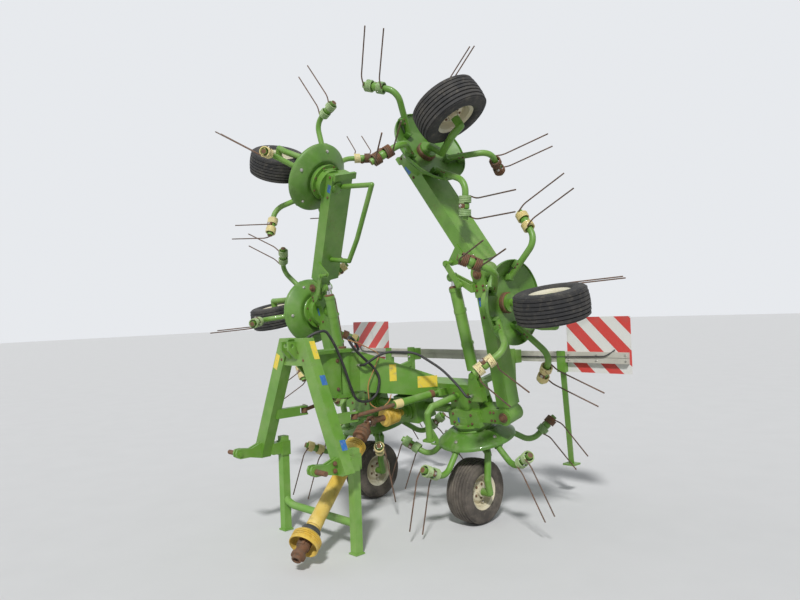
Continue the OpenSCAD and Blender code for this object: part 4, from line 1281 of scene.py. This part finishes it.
    def _fold_joints(self, side: Side, palette: Palette) -> None:
        """Nuts and bolts at the fold pins."""
        for stage, pin in ((Stage.MIDDLE, INNER_PIN_X), (Stage.INNER, OUTER_PIN_X)):
            piece = Workpiece("fold_joint_%s_%s" % (stage.name.lower(), side.word), "rusty")
            for y in (-1, 1):
                piece.bolt((pin, y * 80.3, -BEAM_DROP), (0, y, 0), 15)
                for dx, dz in ((-96, 26), (-96, -26), (-70, 26), (-70, -26)):
                    piece.bolt((pin + dx, y * 66.3, -BEAM_DROP + dz), (0, y, 0), 7.5)
            piece.finish(palette, Placement(side, stage).wing(), self._body(side, stage), "green_paint")

    def _gear_cases(self, side: Side, palette: Palette) -> None:
        """Flange bolts, side bolts and caps of the gear cases over the rotors."""
        for stage, front, rear, rows in self.gear_cases:
            x = FIRST_X + PITCH * stage.value
            piece = Workpiece("gear_case_%s_%s" % (stage.name.lower(), side.word), "green", "rusty")
            for count, shift, r, z, size in (
                (8, 0.5, self.flange_r, self.flange_z, 6.5), (6, 0.0, self.cap_r, self.cap_z, 4),
            ):
                for i in range(count):
                    a = math.tau * (i + shift) / count
                    piece.bolt((x + r * math.cos(a), r * math.sin(a), z), (0, 0, 1), size, "rusty")
            cap = [(0, -95), (44, -95), (44, -89), (38, -85), (0, -85)]
            piece.lathe(cap, "green", 40, False, Matrix.Translation((x, 0, 0)))
            for dx in (-74, 74):
                for z in rows:
                    piece.bolt((x + dx, front, z), (0, -1, 0), 8, "rusty")
                    piece.bolt((x + dx, rear, z), (0, 1, 0), 8, "rusty")
            piece.finish(palette, Placement(side, stage).wing(), self._body(side, stage), "green_paint")

    def _lamps(self, side: Side, palette: Palette) -> None:
        """The lamp's housing ring and wire, the board's screws and its amber reflector."""
        piece = Workpiece("lamp_ring_" + side.word, "black", "bright", "amber")
        y, lamp = self.board_y, Vector((1215, self.board_y, self.lamp_z))
        turn = Matrix.Translation(lamp) @ Matrix.Rotation(-math.pi / 2, 4, "X")
        ring = [(56, 0.2), (62, 0.2), (63, 4), (63, 26), (60.4, 30), (60.4, 0.6)]
        piece.lathe(ring, "black", 40, place=turn)
        for x in (893, 1095, 1297):
            for z in (1012, 1048):
                piece.bolt((x, y, z), (0, 1, 0), 6, "bright")
                piece.bolt((x, 527, z), (0, -1, 0), 6, "bright")
        piece.drum((925, y, self.lamp_z), (925, y + 8, self.lamp_z), 26, 2, "amber")
        wire = [(1215, 548, 1080), (1200, 522, 1062), (1160, 519, 1040), (800, 520, 1030), (520, 521, 1026)]
        piece.tube(rounded(wire, 30, 5), 8, "black", 8)
        piece.finish(palette, Placement(side).ground(), "frame", "lamp_lens")

    def _beam_foils(self, palette: Palette) -> None:
        """Blue foils on the fronts of the gear cases, as middle x, face y and lowest z."""
        for i, (side, stage, x, y, z) in enumerate((
            (Side.LEFT, Stage.MIDDLE, 487, -100.9, -190),
            (Side.LEFT, Stage.INNER, 1522, -54.9, -138),
            (Side.LEFT, Stage.OUTER, 2489, -54.9, -134),
            (Side.RIGHT, Stage.INNER, 1502, -54.9, -176),
            (Side.RIGHT, Stage.OUTER, 2492, -54.9, -134),
        )):
            foil = Workpiece("blue_foil_%d" % i, "blue")
            foil.block((x - self.foil_half, y, z), (x + self.foil_half, y + 1.3, z + self.foil_h), 0)
            foil.finish(palette, Placement(side, stage).wing(), self._body(side, stage), "green_paint")

    def _leg_foils(self, palette: Palette) -> None:
        """Foils on the two legs of the headstock, as name, corner and corner."""
        leg = aim((410, -1000, 500), (85, -1000, 1215))
        for side, spots in (
            (Side.LEFT, (
                ("sun", (-45.9, -33, 652), (-44.6, 5, 766)),
                ("blue", (-45.9, -32, 491), (-44.6, 6, 551)),
                ("blue", (-45.9, -32, 102), (-44.6, 6, 162)),
            )),
            (Side.RIGHT, (("sun", (-40, 34.6, 594), (0, 35.9, 690)),)),
        ):
            foil = Workpiece(side.word + "_leg_foils", "sun", "blue")
            for finish, low, high in spots:
                foil.block(low, high, 0, finish)
            foil.finish(palette, Placement(side).ground() @ leg, "headstock", "green_paint")

    def _boom_foils(self, palette: Palette) -> None:
        """Two yellow foils on each flared side of the boom."""
        flare = Matrix.Translation((55, -560, 0)) @ Matrix.Rotation(math.atan2(520, 286), 4, "Z")
        for side in Side:
            foil = Workpiece("boom_foils_" + side.word, "sun")
            foil.block((194, -1.2, 925), (240, 0.3, 1033), 0)
            foil.block((380, -1.2, 871), (514, 0.3, 945), 0)
            foil.finish(palette, Placement(side).ground() @ flare, "frame", "green_paint")

    def _cone(self, palette: Palette) -> None:
        """The fine ribs of the cone over the gearbox's stub."""
        place = Placement().ground() @ aim(over_ground(NECK), SHAFT_JOINT)
        piece = Workpiece("stub_cone_ribs", "yellow")
        for i in range(self.cone_ribs):
            z, r = 30 + 12 * i, 53.5 + 1.2 * i
            half = [(r - 11, 4), (r - 1.5, 3.2), (r, 1)]
            profile = [(a, z - b) for a, b in half] + [(a, z + b) for a, b in reversed(half)]
            piece.lathe(profile, "yellow", 44)
        piece.finish(palette, place, "frame", "yellow_guard")

    def _tops(self, palette: Palette) -> None:
        """Bolts of the headstock, of the middle beam and of the rack."""
        head = Workpiece("headstock_bolts", "rusty", "bright")
        boom = Workpiece("frame_bolts", "rusty", "bright")
        up_front = over_ground((0, -1, 0)) - over_ground((0, 0, 0))
        for s in (-1, 1):
            for x, y, z, way, size in (
                (60, -742, 905, (s, 0, 0), 11), (60, -742, 1080, (s, 0, 0), 11),
                (42, -1010, 1150, (s, 0, 0), 11), (110, -1027, 1106, (0, -1, 0), 11),
                (408, -1062, 552, (s, 0, 0), 12), (408, -1062, 512, (s, 0, 0), 12),
            ):
                head.bolt((s * x, y, z), way, size, "rusty")
            head.drum((s * 478, -1188, 520), (s * 478, -1188, 540), 4, 0.5, "bright", 12)
            for x, y, z in ((490, 423, 1010), (838, 531, 965)):
                boom.bolt((s * x, y, z), (0, -1, 0), 9, "bright")
        for x in (-440, -560, 440, 560):
            for z in (-10, -55):
                boom.bolt(over_ground((x, -70, z)), up_front, 9, "rusty")
        head.finish(palette, Placement().ground(), "headstock", "green_paint")
        boom.finish(palette, Placement().ground(), "frame", "green_paint")


@dataclass(frozen=True)
class Studio:
    """The pale floor, the soft light and the camera."""

    eye: Spot = (3.42, -3.225, 1.37)
    turn: float = 46.1
    rise: float = -0.95
    roll: float = -2.14
    focal_px: float = 693.4
    photo_w: float = 800.0
    sensor_w: float = 36.0
    suns: tuple[tuple[str, Spot, float, float], ...] = (
        ("key", (-0.55, 0.62, -0.75), 3.0, 6.0),
        ("fill", (0.8, 0.5, -0.35), 0.45, 60.0),
    )
    sky: Colour = (0.80, 0.82, 0.85)
    glow: Colour = (0.92, 0.96, 1.0)
    glow_strength: float = 0.36
    floor_half: float = 60.0
    floor_gap: float = 0.002

    def build(self) -> None:
        """Adds floor, lamps, world and camera."""
        scene = bpy.context.scene
        scene.view_settings.view_transform = "Standard"
        self._floor()
        self._world()
        for name, way, strength, angle in self.suns:
            lamp = bpy.data.lights.new(name, "SUN")
            lamp.energy = strength
            lamp.angle = math.radians(angle)
            sun = bpy.data.objects.new(name, lamp)
            sun.rotation_euler = Vector(way).to_track_quat("-Z", "Y").to_euler()
            scene.collection.objects.link(sun)
        self._camera()

    def _floor(self) -> None:
        """A large pale plane under the machine."""
        bm = bmesh.new()
        bmesh.ops.create_grid(bm, x_segments=1, y_segments=1, size=self.floor_half)
        bmesh.ops.translate(bm, vec=(0, 0, -self.floor_gap), verts=bm.verts)
        mesh = bpy.data.meshes.new("floor")
        bm.to_mesh(mesh)
        bm.free()
        recipe = Recipe("floor")
        colour = recipe.blend(recipe.noise(3.0, 3), (0.60, 0.60, 0.60), (0.64, 0.64, 0.64))
        mesh.materials.append(recipe.dress(colour=colour, rough=0.9))
        floor = bpy.data.objects.new("floor", mesh)
        bpy.context.scene.collection.objects.link(floor)

    def _world(self) -> None:
        """A pale sky for the camera and for gloss, and a softer glow that lights."""
        world = bpy.data.worlds.new("studio")
        bpy.context.scene.world = world
        world.use_nodes = True
        nodes, links = world.node_tree.nodes, world.node_tree.links
        nodes.clear()
        seen, lit = nodes.new("ShaderNodeBackground"), nodes.new("ShaderNodeBackground")
        mix, out = nodes.new("ShaderNodeMixShader"), nodes.new("ShaderNodeOutputWorld")
        path, either = nodes.new("ShaderNodeLightPath"), nodes.new("ShaderNodeMath")
        either.operation = "MAXIMUM"
        for node, colour, strength in ((seen, self.sky, 1.0), (lit, self.glow, self.glow_strength)):
            node.inputs[0].default_value = (*colour, 1)
            node.inputs[1].default_value = strength
        for start, end in (
            (path.outputs["Is Camera Ray"], either.inputs[0]),
            (path.outputs["Is Glossy Ray"], either.inputs[1]),
            (either.outputs[0], mix.inputs[0]),
            (lit.outputs[0], mix.inputs[1]),
            (seen.outputs[0], mix.inputs[2]),
            (mix.outputs[0], out.inputs[0]),
        ):
            links.new(start, end)

    def _camera(self) -> None:
        """The photograph's viewpoint."""
        turn, rise, roll = (math.radians(a) for a in (self.turn, self.rise, self.roll))
        back = Vector((math.sin(turn) * math.cos(rise), -math.cos(turn) * math.cos(rise), math.sin(rise)))
        right = Vector((math.cos(turn), math.sin(turn), 0))
        up = back.cross(right)
        side = right * math.cos(roll) + up * math.sin(roll)
        top = up * math.cos(roll) - right * math.sin(roll)
        camera = bpy.data.cameras.new("camera")
        camera.sensor_width = self.sensor_w
        camera.lens = self.focal_px * self.sensor_w / self.photo_w
        camera.clip_end = 200.0
        eye = bpy.data.objects.new("camera", camera)
        eye.matrix_world = Matrix.Translation(self.eye) @ Matrix((side, top, back)).transposed().to_4x4()
        bpy.context.scene.collection.objects.link(eye)
        bpy.context.scene.camera = eye


def main() -> None:
    """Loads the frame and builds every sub-assembly."""
    logging.basicConfig(level=logging.INFO, format="%(message)s")
    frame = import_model()
    palette = Palette()
    Studio().build()
    SteelFrame().dress(frame["nodes"], palette)
    for name, side, stage, angle, leg, coils, rubber in (
        ("left_1", Side.LEFT, Stage.MIDDLE, 56, 1, "grgggggggg", "tyre_worn"),
        ("left_2", Side.LEFT, Stage.INNER, 22, -1, "ccccccccrr", "tyre"),
        ("left_3", Side.LEFT, Stage.OUTER, 48, -1, "rrrrggrrgg", "tyre"),
        ("right_1", Side.RIGHT, Stage.MIDDLE, 3, -1, "ccgcggcccc", "tyre_worn"),
        ("right_2", Side.RIGHT, Stage.INNER, 58, 1, "ccrcccgggg", "tyre"),
        ("right_3", Side.RIGHT, Stage.OUTER, 8, 1, "ggcrggcccc", "tyre"),
    ):
        TinedRotor("rotor_" + name, side, stage, angle, coils).build(palette)
        TransportWheel(name, side, stage, leg, rubber).build(palette)
    for assembly in (DriveShaft(), Fittings()):
        assembly.build(palette)


if __name__ == "__main__":
    main()
